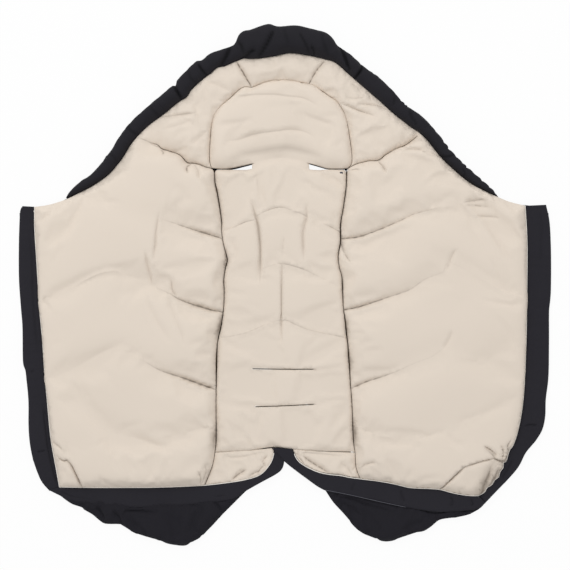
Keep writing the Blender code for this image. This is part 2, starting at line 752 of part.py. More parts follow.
def make_slider(run, sign, flap, materials):
    """Zip slider round the coil at the foot of its straight run, with its pull under it."""
    top, bottom = (Vector((p.x * sign, p.y)) for p in run)
    way = (top - bottom).normalized()
    across = Vector((way.y, -way.x))
    rest = bottom + way * (SLIDER_LENGTH / 2 + SLIDER_START)
    travel = (top - rest).length - STOP_LENGTH - SLIDER_LENGTH / 2 - 2 * GAP
    plate_low = tape_low - GAP - SLIDER_PLATE
    plate_high = tape_low - GAP
    wall = COIL_WIDTH / 2 + TAPE_LIP + GAP
    profile = ((-SLIDER_REACH, plate_low), (SLIDER_REACH, plate_low), (SLIDER_REACH, slider_top + SLIDER_PLATE),
               (-SLIDER_REACH, slider_top + SLIDER_PLATE), (-SLIDER_REACH, slider_top), (wall, slider_top),
               (wall, plate_high), (-SLIDER_REACH, plate_high))

    def at(x, y, z):
        """A place on the slider, x toward its closed side and y along its travel."""
        spot = rest + across * (x * sign) + way * y
        return (spot.x, spot.y, z)

    def block(name, low, high, material):
        ring = [(low[0], low[2]), (high[0], low[2]), (high[0], high[2]), (low[0], high[2])]
        return loft(name, [[at(x, y, z) for x, z in ring] for y in (low[1], high[1])], material)

    carriage = hinge_empty("slider_run", (rest.x, rest.y, coil_low))
    carriage.parent = flap
    carriage.matrix_parent_inverse = Matrix.Translation(-flap.location)
    metal = materials["metal"]
    half = SLIDER_LENGTH / 2
    slider = loft("zip_slider", [[at(x, y, z) for x, z in profile] for y in (-half, half)], metal)
    lugs = []
    for k in (-1, 1):
        ends = sorted((k * LUG_IN, k * (SLIDER_REACH - LUG_INSET)))
        low = (ends[0], -LUG_LENGTH / 2, PULL_LOW - GAP)
        lugs.append(block("slider_lug", low, (ends[1], LUG_LENGTH / 2, plate_low + SLIDER_PLATE / 2), metal))
    joined(slider, lugs)
    neck = LUG_IN - GAP
    wide = neck * PULL_SPREAD
    outline = ((-neck, PULL_THICK / 2), (neck, PULL_THICK / 2), (neck, -LUG_LENGTH), (wide, -2 * LUG_LENGTH),
               (wide, -PULL_LENGTH + wide), (wide / 2, -PULL_LENGTH), (-wide / 2, -PULL_LENGTH),
               (-wide, -PULL_LENGTH + wide), (-wide, -2 * LUG_LENGTH), (-neck, -LUG_LENGTH))
    pull = loft("zip_pull", [[at(x, y, z) for x, y in outline] for z in (PULL_LOW, PULL_LOW + PULL_THICK)], metal)
    pin = hinge_empty("pull_pin", (rest.x, rest.y, PULL_LOW + PULL_THICK / 2))
    pin.parent = carriage
    pin.matrix_parent_inverse = Matrix.Translation(-carriage.location)
    for thing, holder in ((slider, carriage), (pull, pin)):
        thing.parent = holder
        thing.matrix_parent_inverse = Matrix.Translation(-Vector((rest.x, rest.y, holder.location.z)))
    print("slider at", tuple(rest), "way", tuple(way), "travel", travel, "pin axis", tuple(across),
          "pin height", PULL_LOW + PULL_THICK / 2)


def make_back(materials):
    """Head panel and hood sides, with the shell under them."""
    neck = resample(smooth(NECK), SIDE_COLUMNS)
    arch = resample(smooth(ARCH), ARCH_STEPS)
    half = []
    for k in range(SEAT_TOP_STEPS + 1):
        share = k / SEAT_TOP_STEPS
        half.append(Vector((SEAT_SEAM_HALF * share, SEAT_SEAM_Y + SEAT_SEAM_RISE * (1 - share * share))))
    half += resample([half[-1], vec(NECK_INNER)], NECK_STEPS)[1:]
    low = [Vector((-p.x, p.y)) for p in reversed(half[1:])] + half
    steps = len(half) - 1
    top_half = [Vector((arch[-1].x * k / steps, HOOD_FOLD_Y)) for k in range(steps + 1)]
    high = [Vector((-p.x, p.y)) for p in reversed(top_half[1:])] + top_half
    left = [Vector((-p.x, p.y)) for p in arch]
    grid = patch(low, high, left, arch)
    cells = all_cells(grid)
    following = border(cells)
    rows = len(grid) - 1
    top = []
    for r, row in enumerate(grid):
        crown = puff(EDGE_HEIGHT, HEAD_CROWN, (r + 0.5) / (rows + 1))
        top.append([EDGE_HEIGHT if (r, c) in following else crown for c in range(len(row))])
    padded("head", 1, grid, cells, top, materials)

    rim, _ = roll_edges()
    on_back, on_hood = split(split(rim, 0, FOLD_X)[1], 1, HOOD_FOLD_Y)
    rim_back = resample(on_back, RIM_STEPS)
    for key, side in SIDES.items():
        sign = side["sign"]
        end = [neck[-1]] + rim_back
        hinge = resample([arch[-1], rim_back[-1]], SIDE_COLUMNS)
        grid = patch(neck, hinge, arch, end)
        cells = all_cells(grid)
        following = border(cells)
        top = []
        for r, row in enumerate(grid):
            crown = puff(VALLEY_HEIGHT, HOOD_CROWN, (r + 0.5) / len(grid))
            top.append([EDGE_HEIGHT if (r, c) in following else crown for c in range(len(row))])
        padded(key + "_hood_side", sign, grid, cells, top, materials)
    right = neck[1:] + rim_back
    outline = low + right + [Vector((-p.x, p.y)) for p in reversed(right)]
    plate("head_shell", 1, outline, 0.0, SHELL, materials["shell"])
    return rim_back, on_hood


def make_seat(materials):
    """Seat panel, free along both sides and at its upper corners, with two crotch slots."""
    slit = smooth(SLIT_LINE)

    def row(edge_y, y, column):
        edge = x_at(slit, edge_y) - SLIT
        half = [0.0, column / 2, column, (column + edge) / 2, edge]
        points = [Vector((x, y + (edge_y - y) * x / edge)) for x in half]
        return [Vector((-p.x, p.y)) for p in reversed(points[1:])] + points

    slot = CROTCH_SLOT / 2
    straight = [(SEAT_BOTTOM_Y, 0.0), (SEAT_LOW_ROWS[0], LOW_ROW_RISE), (SEAT_LOW_ROWS[1], 1.0),
                (CROTCH_LOWER_Y - slot, SLOT_RISE), (CROTCH_LOWER_Y + slot, SLOT_RISE),
                ((CROTCH_LOWER_Y + CROTCH_UPPER_Y) / 2, 1.0),
                (CROTCH_UPPER_Y - slot, SLOT_RISE), (CROTCH_UPPER_Y + slot, SLOT_RISE)]
    lines = [(y, y, rise) for y, rise in straight]
    lines.append((*SEAT_MIDDLE_ROW, 1.0))
    for here, after in zip(SEAT_CHEVRONS, SEAT_CHEVRONS[1:]):
        lines.append((*here, -1.0))
        lines.append(((here[0] + after[0]) / 2, (here[1] + after[1]) / 2, 1.0))
    lines.append((*SEAT_CHEVRONS[-1], -1.0))
    lines.append((*SEAT_HIGH_ROW, 1.0))
    lines.append((SEAT_CORNER_Y, SEAT_SEAM_Y - STRAP_SLOT, TOP_RISE))
    grid, share = [], []
    for edge_y, y, rise in lines:
        spread = min(1, max(0, y / SEAT_HIGH_ROW[1]))
        grid.append(row(edge_y, y, CROTCH_HALF + (SEAT_SEAM_HALF - CROTCH_HALF) * spread))
        share.append(rise)
    last = []
    for p in grid[-1]:
        inside = min(1.0, abs(p.x) / SEAT_SEAM_HALF)
        last.append(Vector((p.x, SEAT_SEAM_Y + SEAT_SEAM_RISE * (1 - inside * inside))))
    for p in grid[-1][MIDDLE_COLUMNS[0]:MIDDLE_COLUMNS[1] + 1]:
        p.y = SEAT_SEAM_Y - STRAP_SLOT
    grid.append(last)
    share.append(0.0)
    cells = set()
    for r, c in all_cells(grid):
        middle = MIDDLE_COLUMNS[0] <= c < MIDDLE_COLUMNS[1]
        if r in CROTCH_ROWS and middle:
            continue
        if r == len(grid) - 2 and not middle:
            continue
        cells.add((r, c))
    following = border(cells)
    top = []
    for r, line in enumerate(grid):
        heights = []
        for c in range(len(line)):
            h = SEAT_VALLEY if share[r] < 0 else SEAT_VALLEY + (SEAT_CROWN - SEAT_VALLEY) * share[r]
            heights.append(SEAT_EDGE if (r, c) in following else h)
        top.append(heights)
    padded("seat", 1, grid, cells, top, materials)
    pad("seat_backing", 1, grid, cells, level(grid, SHELL), level(grid, 0.0), materials["shell"])


def make_hood(on_hood, hood, materials):
    """Crown of the hood beyond its fold, with lining, wadding and shell."""
    rim = resample(on_hood, HOOD_COLUMNS)
    start = rim[0].lerp(rim[1], HOOD_START)
    rim = [start] + rim[1:]
    low_end = on_hood[0].x * HOOD_LOW_SHARE
    low_half = [Vector((low_end * k / HOOD_COLUMNS, HOOD_FOLD_Y)) for k in range(HOOD_COLUMNS + 1)]
    low = [Vector((-p.x, p.y)) for p in reversed(low_half[1:])] + low_half
    high_half = list(reversed(rim))
    high = [Vector((-p.x, p.y)) for p in reversed(high_half[1:])] + high_half
    left = resample([low[0], high[0]], HOOD_ROWS)
    right = resample([low[-1], high[-1]], HOOD_ROWS)
    grid = patch(low, high, left, right)
    cells = all_cells(grid)
    following = border(cells)
    darts = (HOOD_COLUMNS // 2, HOOD_COLUMNS + HOOD_COLUMNS // 2)
    top = []
    for r, line in enumerate(grid):
        heights = []
        for c in range(len(line)):
            crown = VALLEY_HEIGHT if c in darts else HOOD_CROWN
            heights.append(EDGE_HEIGHT if (r, c) in following else crown)
        top.append(heights)
    padded("hood", 1, grid, cells, top, materials, hood)
    outline = low + list(reversed(high))
    plate("hood_shell", 1, outline, 0.0, SHELL, materials["shell"], hood)
    return high_half


def make_roll(wings, rim_back, hood_rim, bodies, materials):
    """Gathered edge of the hood: a stretch on each flap, two on the back and one on the hood."""
    _, outer = roll_edges()
    on_flap, rest = split(outer, 0, FOLD_X)
    on_back, on_hood = split(rest, 1, HOOD_FOLD_Y)
    for key, side in SIDES.items():
        sign = side["sign"]
        inner = even(list(reversed(wings[key]["rim"])), GATHER_PITCH / 2)
        edge = resample(on_flap, len(inner) - 1)
        place(key + "_roll", sign, inner, edge, materials, bodies[key + "_flap"])
        inner = even(rim_back, GATHER_PITCH / 2)
        edge = resample(on_back, len(inner) - 1)
        place(key + "_shoulder_roll", sign, inner, edge, materials, None)
    half = [rim_back[-1]] + list(reversed(hood_rim))
    inner = even(half, GATHER_PITCH / 2)
    edge = resample(on_hood, len(inner) - 1)
    inner = inner + [Vector((-p.x, p.y)) for p in reversed(inner[:-1])]
    edge = edge + [Vector((-p.x, p.y)) for p in reversed(edge[:-1])]
    place("hood_roll", 1, inner, edge, materials, bodies["hood"])


def place(name, sign, inner, edge, materials, parent):
    """Gathered roll on its side, kept clear of the folds at both its ends."""
    inner = [Vector((p.x * sign, p.y)) for p in inner]
    edge = [Vector((p.x * sign, p.y)) for p in edge]
    for line in (inner, edge):
        line[0] = line[0].lerp(line[1], GAP / (line[1] - line[0]).length)
        line[-1] = line[-1].lerp(line[-2], GAP / (line[-2] - line[-1]).length)
    gathered_roll(name, inner, edge, materials, parent)


def centre_on_origin():
    """Hang everything from one empty, so that the origin is at the middle of the underside."""
    bpy.context.view_layer.update()
    corners = [thing.matrix_world @ Vector(corner) for thing in bpy.data.objects
               if thing.type == "MESH" and not thing.hide_render for corner in thing.bound_box]
    middle = [(min(p[k] for p in corners) + max(p[k] for p in corners)) / 2 for k in (0, 1)]
    centre = hinge_empty("footmuff", (-middle[0], -middle[1], 0))
    for thing in bpy.data.objects:
        if thing.parent is None and thing is not centre:
            thing.parent = centre
    print("shift to the middle", -middle[0], -middle[1])
    bpy.context.view_layer.update()
    for name in ("left_flap_fold", "right_flap_fold", "hood_fold", "slider_run", "pull_pin"):
        print(name, tuple(round(v, 6) for v in bpy.data.objects[name].matrix_world.translation))


def main():
    for old in list(bpy.data.objects):
        bpy.data.objects.remove(old, do_unlink=True)
    beige = (0.73, 0.66, 0.57)
    black = (0.018, 0.018, 0.021)
    materials = {
        "lining": make_material("lining_fabric", beige, 0.9),
        "wadding": make_material("wadding_fibre", (0.9, 0.9, 0.88), 1.0),
        "shell": make_material("shell_fabric", black, 0.8),
        "edge": make_material("gathered_edge", black, 0.75),
        "facing": make_material("facing_fabric", (0.022, 0.022, 0.025), 0.8),
        "elastic": make_material("elastic_cord", (0.6, 0.6, 0.6), 0.7),
        "tape": make_material("zip_tape", (0.015, 0.015, 0.016), 0.8),
        "coil": make_material("zip_coil", (0.02, 0.02, 0.02), 0.4),
        "metal": make_material("zip_metal", (0.25, 0.25, 0.26), 0.35, 1.0),
    }
    bodies = {
        "left_flap": hinge_empty("left_flap_fold", (-FOLD_X, 0, FOLD_HEIGHT)),
        "right_flap": hinge_empty("right_flap_fold", (FOLD_X, 0, FOLD_HEIGHT)),
        "hood": hinge_empty("hood_fold", (0, HOOD_FOLD_Y, FOLD_HEIGHT)),
    }
    wings = {}
    feet = []
    for key, side in SIDES.items():
        wings[key] = make_wing(key, side, materials, bodies)
        feet.append(foot_end(key, side, wings[key], materials, bodies[key + "_flap"]))
    make_foot_base(feet, materials)
    make_slider(wings["left"]["zip"], SIDES["left"]["sign"], bodies["left_flap"], materials)
    rim_back, on_hood = make_back(materials)
    make_seat(materials)
    hood_rim = make_hood(on_hood, bodies["hood"], materials)
    make_roll(wings, rim_back, hood_rim, bodies, materials)
    centre_on_origin()


main()
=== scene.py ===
# %% [markdown]
# # Dressing a quilted footmuff for an infant car seat
#
# The footmuff lies open on its back. A beige quilted lining faces up, and black cloth shows at the
# gathered hood edge, at the facings of the zip and at the two collapsed foot ends. The rigid frame
# is loaded first. Every piece of cloth is then made on top of it, in metres, in the same place.

# %% Load the frame
import math

import bpy
import numpy as np
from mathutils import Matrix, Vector
from mathutils.geometry import delaunay_2d_cdt


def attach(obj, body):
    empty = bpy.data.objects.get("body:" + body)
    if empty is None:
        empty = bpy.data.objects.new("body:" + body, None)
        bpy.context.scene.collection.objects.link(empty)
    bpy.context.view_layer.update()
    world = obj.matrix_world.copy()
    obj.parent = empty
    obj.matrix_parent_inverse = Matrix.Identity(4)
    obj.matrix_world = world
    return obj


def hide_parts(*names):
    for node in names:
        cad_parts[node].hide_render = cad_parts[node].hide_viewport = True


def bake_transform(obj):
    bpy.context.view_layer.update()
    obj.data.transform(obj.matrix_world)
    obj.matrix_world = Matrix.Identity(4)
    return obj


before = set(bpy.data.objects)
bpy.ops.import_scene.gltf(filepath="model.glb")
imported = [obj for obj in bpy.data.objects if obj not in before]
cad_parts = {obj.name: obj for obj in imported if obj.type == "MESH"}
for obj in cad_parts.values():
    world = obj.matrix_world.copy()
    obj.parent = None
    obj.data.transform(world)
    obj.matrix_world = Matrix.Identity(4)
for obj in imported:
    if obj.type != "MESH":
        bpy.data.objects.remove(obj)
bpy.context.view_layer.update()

# %% [markdown]
# ## Camera
# The photograph looks straight down from a long way up. A camera without perspective would do
# nearly as well, but a long lens keeps the slight growth of the parts that stand up. At this height
# the picture is 883.5 mm wide, and one of its 570 pixels is 1.55 mm on the floor.

# %% The camera
LENS = 0.135
SENSOR = 0.036
PIXEL = 0.00155
PICTURE = 570
PICTURE_MIDDLE = (0.0007, -0.0004)
CAMERA_HEIGHT = PIXEL * PICTURE * LENS / SENSOR

camera_data = bpy.data.cameras.new("camera")
camera_data.lens = LENS * 1000
camera_data.sensor_width = SENSOR * 1000
camera_data.clip_end = 100
camera = bpy.data.objects.new("camera", camera_data)
camera.location = (*PICTURE_MIDDLE, CAMERA_HEIGHT)
bpy.context.collection.objects.link(camera)
bpy.context.scene.camera = camera
print("camera height", round(CAMERA_HEIGHT, 3))

# %% [markdown]
# ## Light and floor
# The product lies on white under soft studio light. A sky alone would light it flat, so one large
# soft lamp from the hood side models the quilting, and a pale sky fills its shadows. The floor and
# the sky look pure white to the camera and in reflections only, so that this white adds no light.
# The floor keeps part of its lit look, and with it the soft shadow of the footmuff.

# %% Shader maths with ordinary operators


class Signal:
    """A value in a material. Sums and products of signals and numbers add Math nodes."""

    def __init__(self, finish, socket):
        self.finish, self.socket = finish, socket

    def maths(self, operation, *values):
        return self.finish.node("ShaderNodeMath", {"operation": operation}, dict(enumerate(values)))

    def __add__(self, other):
        return self.maths("ADD", self, other)

    def __radd__(self, other):
        return self.maths("ADD", other, self)

    def __sub__(self, other):
        return self.maths("SUBTRACT", self, other)

    def __rsub__(self, other):
        return self.maths("SUBTRACT", other, self)

    def __mul__(self, other):
        return self.maths("MULTIPLY", self, other)

    def __rmul__(self, other):
        return self.maths("MULTIPLY", other, self)


class Finish:
    """The nodes of one material or of the sky."""

    def __init__(self, owner):
        owner.use_nodes = True
        self.owner, self.tree = owner, owner.node_tree

    def feed(self, socket, value):
        if isinstance(value, Signal):
            self.tree.links.new(value.socket, socket)
        else:
            socket.default_value = value

    def node(self, kind, settings=None, values=None, out=0):
        made = self.tree.nodes.new(kind)
        for key, value in (settings or {}).items():
            setattr(made, key, value)
        for key, value in (values or {}).items():
            self.feed(made.inputs[key], value)
        return Signal(self, made.outputs[out])

    def shade(self, **values):
        """Set or link sockets of the main shader, with underscores for the spaces in their names."""
        for key, value in values.items():
            self.feed(self.tree.nodes["Principled BSDF"].inputs[key.replace("_", " ")], value)

    def blend(self, share, first, second):
        """Colour between two colours."""
        return self.node("ShaderNodeMix", {"data_type": "RGBA"}, {0: share, 6: first, 7: second}, out=2)


def linear(red, green, blue):
    """A colour read off the photograph, 0 to 255, as the shader wants it."""
    parts = [v / 255 for v in (red, green, blue)]
    return tuple(v / 12.92 if v < 0.04045 else ((v + 0.055) / 1.055) ** 2.4 for v in parts) + (1.0,)


print("a lining colour of 222, 211, 198 is", [round(v, 3) for v in linear(222, 211, 198)])

# %% Sky
SKY = 0.775
WHITE = (1.0, 1.0, 1.0, 1.0)


def looked_at(finish):
    """1 where the camera, a reflection or glass looks straight at it, 0 for the light it sends out."""
    rays = finish.node("ShaderNodeLightPath").socket.node.outputs
    camera_ray, glossy_ray, clear_ray = (Signal(finish, rays[f"Is {kind} Ray"])
                                         for kind in ("Camera", "Glossy", "Transmission"))
    return camera_ray.maths("MAXIMUM", camera_ray.maths("MAXIMUM", camera_ray, glossy_ray), clear_ray)


world = bpy.data.worlds.new("sky")
bpy.context.scene.world = world
sky = Finish(world)
sky.tree.nodes.clear()
strength = 1 - (1 - looked_at(sky)) * (1 - SKY)
glow = sky.node("ShaderNodeBackground", None, {"Color": WHITE, "Strength": strength})
sky_out = sky.tree.nodes.new("ShaderNodeOutputWorld")
sky.tree.links.new(glow.socket, sky_out.inputs["Surface"])
bpy.context.scene.view_settings.view_transform = "Standard"
print("sky", SKY)

# %% Lamp
LAMP_POWER = 40
LAMP_WIDTH = 1.8
LAMP_PLACE = (-0.7, 2.2, 2.6)

lamp_data = bpy.data.lights.new("soft_lamp", "AREA")
lamp_data.shape = "DISK"
lamp_data.size = LAMP_WIDTH
lamp_data.energy = LAMP_POWER
lamp = bpy.data.objects.new("soft_lamp", lamp_data)
lamp.location = LAMP_PLACE
lamp.rotation_euler = (-lamp.location).to_track_quat("-Z", "Y").to_euler()
bpy.context.collection.objects.link(lamp)
print("lamp", LAMP_POWER, "W at", LAMP_PLACE)

# %% Floor
FLOOR_LEVEL = -0.0004
FLOOR_REACH = 9
FLOOR_GLOW = 0.93

corners = [(x * FLOOR_REACH, y * FLOOR_REACH, FLOOR_LEVEL) for x, y in ((-1, -1), (1, -1), (1, 1), (-1, 1))]
floor_mesh = bpy.data.meshes.new("floor")
floor_mesh.from_pydata(corners, [], [(0, 1, 2, 3)])
floor = bpy.data.objects.new("floor", floor_mesh)
bpy.context.collection.objects.link(floor)
paper = Finish(bpy.data.materials.new("white_floor"))
paper.shade(Base_Color=(0.86, 0.86, 0.86, 1), Roughness=0.9)
lit = Signal(paper, paper.tree.nodes["Principled BSDF"].outputs[0])
bright = paper.node("ShaderNodeEmission", None, {"Color": WHITE, "Strength": 1.0})
floor_mix = paper.node("ShaderNodeMixShader", None, {0: looked_at(paper) * FLOOR_GLOW, 1: lit, 2: bright})
paper.tree.links.new(floor_mix.socket, paper.tree.nodes["Material Output"].inputs["Surface"])
floor_mesh.materials.append(paper.owner)
print("floor of", 2 * FLOOR_REACH, "m")

# %% [markdown]
# ## Finishes
# The lining is a fine matt knit in warm beige, and the black cloth a plain weave with a dusty
# bloom. A picture of cloth could be laid over them, but it would stretch over folds. Their threads
# are smaller than a pixel, so two crossed waves in the bump are enough, and broad noise makes the
# colour slightly uneven. Lint makes the raised threads paler than the valleys. A value on each
# vertex paints shade into the bottom of seams, folds and slits, where little light reaches.

# %% Cloth finishes


def waves(finish, place, pitch, direction):
    """Ridges across one direction, one every pitch metres."""
    settings = {"wave_type": "BANDS", "bands_direction": direction}
    return finish.node("ShaderNodeTexWave", settings,
                       {"Vector": place, "Scale": math.tau / 20 / pitch, "Distortion": 0.6, "Detail": 1.0,
                        "Detail Scale": 0.3}, out="Fac")


def noise(finish, place, scale, detail=3.0):
    """Patches of uneven grey, with a mean of a half."""
    return finish.node("ShaderNodeTexNoise", None, {"Vector": place, "Scale": scale, "Detail": detail})


def cloth(name, base, shade, dust, pitch, roughness, sheen, relief, gleam=0.3):
    """Woven cloth: base colour, painted shade colour of folds, colour of raised threads, width of a thread.
    """
    finish = Finish(bpy.data.materials.new(name))
    base, shade, dust = linear(*base), linear(*shade), linear(*dust)
    place = finish.node("ShaderNodeTexCoord", out="Object")
    weave = waves(finish, place, pitch, "X") * waves(finish, place, pitch * 0.9, "Y")
    fibre = noise(finish, place, 0.5 / pitch)
    patches = noise(finish, place, 11.0, 4.0)
    colour = finish.blend(patches * 0.5 + fibre * 0.25, base, dust)
    worn = finish.blend(weave * 0.35, colour, dust)
    # Painted shade: the per-vertex shade value mixes the colour towards the shade colour in seams and folds.
    crease_shade = finish.node("ShaderNodeAttribute", {"attribute_name": "crease_shade"}, out="Fac")
    threads = weave * 0.7 + fibre * 0.5
    bump = finish.node("ShaderNodeBump", None,
                       {"Strength": relief, "Distance": pitch * 0.4, "Height": threads})
    finish.shade(Base_Color=finish.blend(crease_shade, worn, shade), Roughness=(patches - 0.5) * 0.1 + roughness,
                 Specular_IOR_Level=gleam, Sheen_Weight=sheen, Sheen_Roughness=0.5, Normal=bump)
    return finish.owner


# The second colour of each cloth is its painted shade colour.
lining_cloth = cloth("lining_fabric", (221, 209, 195), (78, 60, 42), (225, 213, 200),
                     pitch=0.0009, roughness=0.92, sheen=0.05, relief=0.25)
black_cloth = cloth("black_cloth", (27, 26, 31), (13, 13, 16), (37, 36, 42),
                    pitch=0.0008, roughness=0.82, sheen=0.02, relief=0.35, gleam=0.12)
gathered_cloth = cloth("gathered_cloth", (29, 28, 32), (12, 12, 14), (39, 38, 43),
                       pitch=0.0007, roughness=0.8, sheen=0.02, relief=0.35, gleam=0.12)
facing_cloth = cloth("facing_cloth", (33, 32, 37), (15, 15, 18), (46, 45, 51),
                     pitch=0.0010, roughness=0.85, sheen=0.02, relief=0.4, gleam=0.12)
thread = cloth("pale_thread", (234, 229, 222), (160, 150, 138), (242, 238, 232),
               pitch=0.0003, roughness=0.8, sheen=0.0, relief=0.3)
grey_thread = cloth("grey_thread", (74, 74, 82), (36, 36, 40), (92, 92, 100),
                    pitch=0.0003, roughness=0.7, sheen=0.0, relief=0.3)
print("materials:", len(bpy.data.materials))

# %% [markdown]
# ## Lines
# The outlines and seams were measured on the photograph, in its pixels, from the top left corner.
# Blender's own curve objects could hold them, but a short string of points per line is easier to
# read and to change. `line` turns one into a smooth curve in metres with even steps, and panels
# that meet share the same line, so that no gap opens.

# %% Curves from points
ORIGIN = (284.546, 284.769)
STEP = 0.004
FINE_STEP = 0.002
TOUCHING = 1e-5


def read_off(text):
    """Points in metres from pixels of the photograph. ORIGIN is the pixel of the frame's origin."""
    pixels = np.array([[float(v) for v in pair.split(",")] for pair in text.split()])
    return (pixels - ORIGIN) * (PIXEL, -PIXEL)


def length_marks(points):
    """How far along a line each of its points lies."""
    return np.r_[0, np.cumsum(np.linalg.norm(np.diff(points, axis=0), axis=1))]


def length_of(points):
    return float(length_marks(points)[-1])


def resampled(points, count):
    """The same line with a number of evenly spaced points, ends kept."""
    marks = length_marks(points)
    at = np.linspace(0, marks[-1], count)
    return np.column_stack([np.interp(at, marks, column) for column in points.T])


def even(points, step):
    """The same line with points at even steps, ends kept."""
    return resampled(points, max(1, round(length_of(points) / step)) + 1)


def through(points, step):
    """Smooth curve through points, at even steps."""
    p = np.vstack((2 * points[0] - points[1], points, 2 * points[-1] - points[-2]))
    t = np.linspace(0, 1, 12, endpoint=False)[:, None]
    runs = []
    for a, b, c, d in zip(p, p[1:], p[2:], p[3:]):
        bend = (2 * a - 5 * b + 4 * c - d) * t ** 2
        twist = (3 * b - a - 3 * c + d) * t ** 3
        runs.append(0.5 * (2 * b + (c - a) * t + bend + twist))
    return even(np.vstack(runs + [points[-1:]]), step)


def line(text, step=STEP):
    return through(read_off(text), step)


def fine_line(text):
    return line(text, FINE_STEP)


def joined(*runs):
    """One closed outline from lines that follow on from each other."""
    return np.vstack([run[:-1] for run in runs])


def sideways(path, closed=False):
    """Unit normals to the left of the way along a line."""
    way = (np.roll(path, -1, axis=0) - np.roll(path, 1, axis=0)) if closed else np.gradient(path, axis=0)
    normal = np.column_stack((-way[:, 1], way[:, 0]))
    return normal / np.maximum(np.linalg.norm(normal, axis=1, keepdims=True), 1e-9)


def signed_area(loop):
    """Area of an outline, below zero where it runs clockwise."""
    x, y = loop.T
    return float((x * np.roll(y, -1) - np.roll(x, -1) * y).sum() / 2)


def inset(loop, distance):
    """An outline moved inward."""
    return loop + sideways(loop, True) * np.sign(signed_area(loop)) * distance


ruler = line("0,0 570,0")
print("the picture is", round(length_of(ruler), 4), "m wide, in", len(ruler), "points")

# %% Lines that two panels share
rim_left = "69,198.5 80,193 95,185 110,174 120,162.5 125.5,154.5 131,145 139,135.5 146,128.5 152.3,123.3"
rim_high_left = ("152.3,123.3 162,116.2 167.5,112 175,105.5 180,101.8 187.5,97 191,91 198.7,83.5 206,77.5 "
                 "211,74 217.5,68.3 225,66.8 231,64 236,62")
crown_rim = "236,62 243.7,59 248,59.4 260,58.8 275,56.5 290,53.7 305,55.5 318,58 325,60"
rim_high_right = "325,60 335,63 350,76 365,89 380,102 395,115.5 410,127 416.8,131.5"
rim_right = "416.8,131.5 420,134 428,142 440,157 455,171.5 470,183.5 485,191.5 497,197"
neck_left = ("152.3,143.7 158,145.2 162,149 170,151.6 180,155.5 187.5,162.8 193,163.6 200,165 206,167.3 "
             "211.5,168.6")
neck_right = "416.8,136.6 411,141.5 404,146 395,150 386,155 378,160.5 368,161.5 356,164.5 347.5,168.8"
arch_left = "211.5,168.6 209.8,160 210,147 212,127 217,112 231,98 243,88 252,88"
crown_seam = "252,88 266,83 280,81 294,82 309,85"
arch_right = "309,85 315,87 330,97.5 338,104 346,120 350,141 351.8,157 351,165 347.5,168.8"
slit_left = ("211.5,168.6 214.3,172 215,183 217.5,195 220,210 221.7,223 221.9,233 223.3,243 225.8,253 "
             "227.2,260.5 225.5,268 223.8,280 224.2,293 223.8,306.7 222.5,316.7 220.8,326.7 218.3,338 "
             "216.7,351.7 216.2,368 216.2,390 216.2,418 216,443 215,452")
slit_right = ("347.5,168.8 346.8,174 346.3,185 345.3,195 343,210 341.5,218 340.5,227 340.8,233 340.6,243 "
              "338.3,256 339.2,266.7 342,278 342.8,293 343.3,308 345,318 346.7,333 349.2,360 350.3,383 "
              "351.7,401.7 352.5,418 353.7,443 355,452")
print("rim", round(length_of(line(rim_left)), 3), "m on the left flap")

# %% [markdown]
# ## Cloth panels
# A panel could be a regular grid, but these have arched edges, darts, slots and seams that end
# inside them. So each one is triangulated inside its outline, with edges along every seam and
# a finer row of points beside it, which lets the cloth turn down sharply into the stitching.

# %% Where a point lies


def inside(points, loop):
    """Which points lie inside an outline."""
    x, y = points[:, :1], points[:, 1:]
    a, b = loop, np.roll(loop, -1, axis=0)
    crosses = (a[:, 1] > y) != (b[:, 1] > y)
    rise = np.where(a[:, 1] == b[:, 1], 1e-12, b[:, 1] - a[:, 1])
    return ((x < a[:, 0] + (y - a[:, 1]) * (b[:, 0] - a[:, 0]) / rise) & crosses).sum(axis=1) % 2 == 1


def nearest(points, path):
    """Distance of each point from a line, and how far along the line its nearest place is, 0 to 1."""
    a, way = path[:-1], np.diff(path, axis=0)
    squares = np.maximum((way ** 2).sum(axis=1), 1e-12)
    best, share = np.full(len(points), 1e9), np.zeros(len(points))
    marks = length_marks(path)
    for k in range(len(a)):
        along = np.clip(((points - a[k]) @ way[k]) / squares[k], 0, 1)
        gap = np.hypot(*(points - a[k] - along[:, None] * way[k]).T)
        nearer = gap < best
        best[nearer] = gap[nearer]
        share[nearer] = (marks[k] + along[nearer] * (marks[k + 1] - marks[k])) / marks[-1]
    return best, share


def closed_path(loop):
    return np.vstack((loop, loop[:1]))


def lies_on(points, path):
    return nearest(points, path)[0] < TOUCHING


def left_of(points, path):
    """Which points lie to the left of the way along a line."""
    side = sideways(path) * 1e-4
    return nearest(points, path + side)[0] < nearest(points, path - side)[0]


def without(path, gone):
    """The stretches of a line that don't run along any of the other lines."""
    near = np.zeros(len(path), bool)
    for other in gone:
        near |= nearest(path, other)[0] < 0.0009
    runs, run = [], []
    for k in range(len(path) - 1):
        if near[k] and near[k + 1]:
            runs.append(run)
            run = []
        else:
            run = run or [path[k]]
            run.append(path[k + 1])
    return [np.array(run) for run in runs + [run] if len(run) > 1]


print("100 pixels below the ruler is", round(float(nearest(read_off("285,100"), ruler)[0][0]), 3), "m off it")

# %% Triangles inside an outline
ROW_HEIGHT = 0.866
CLOSEST = 0.0012
CLEAR = 0.0005


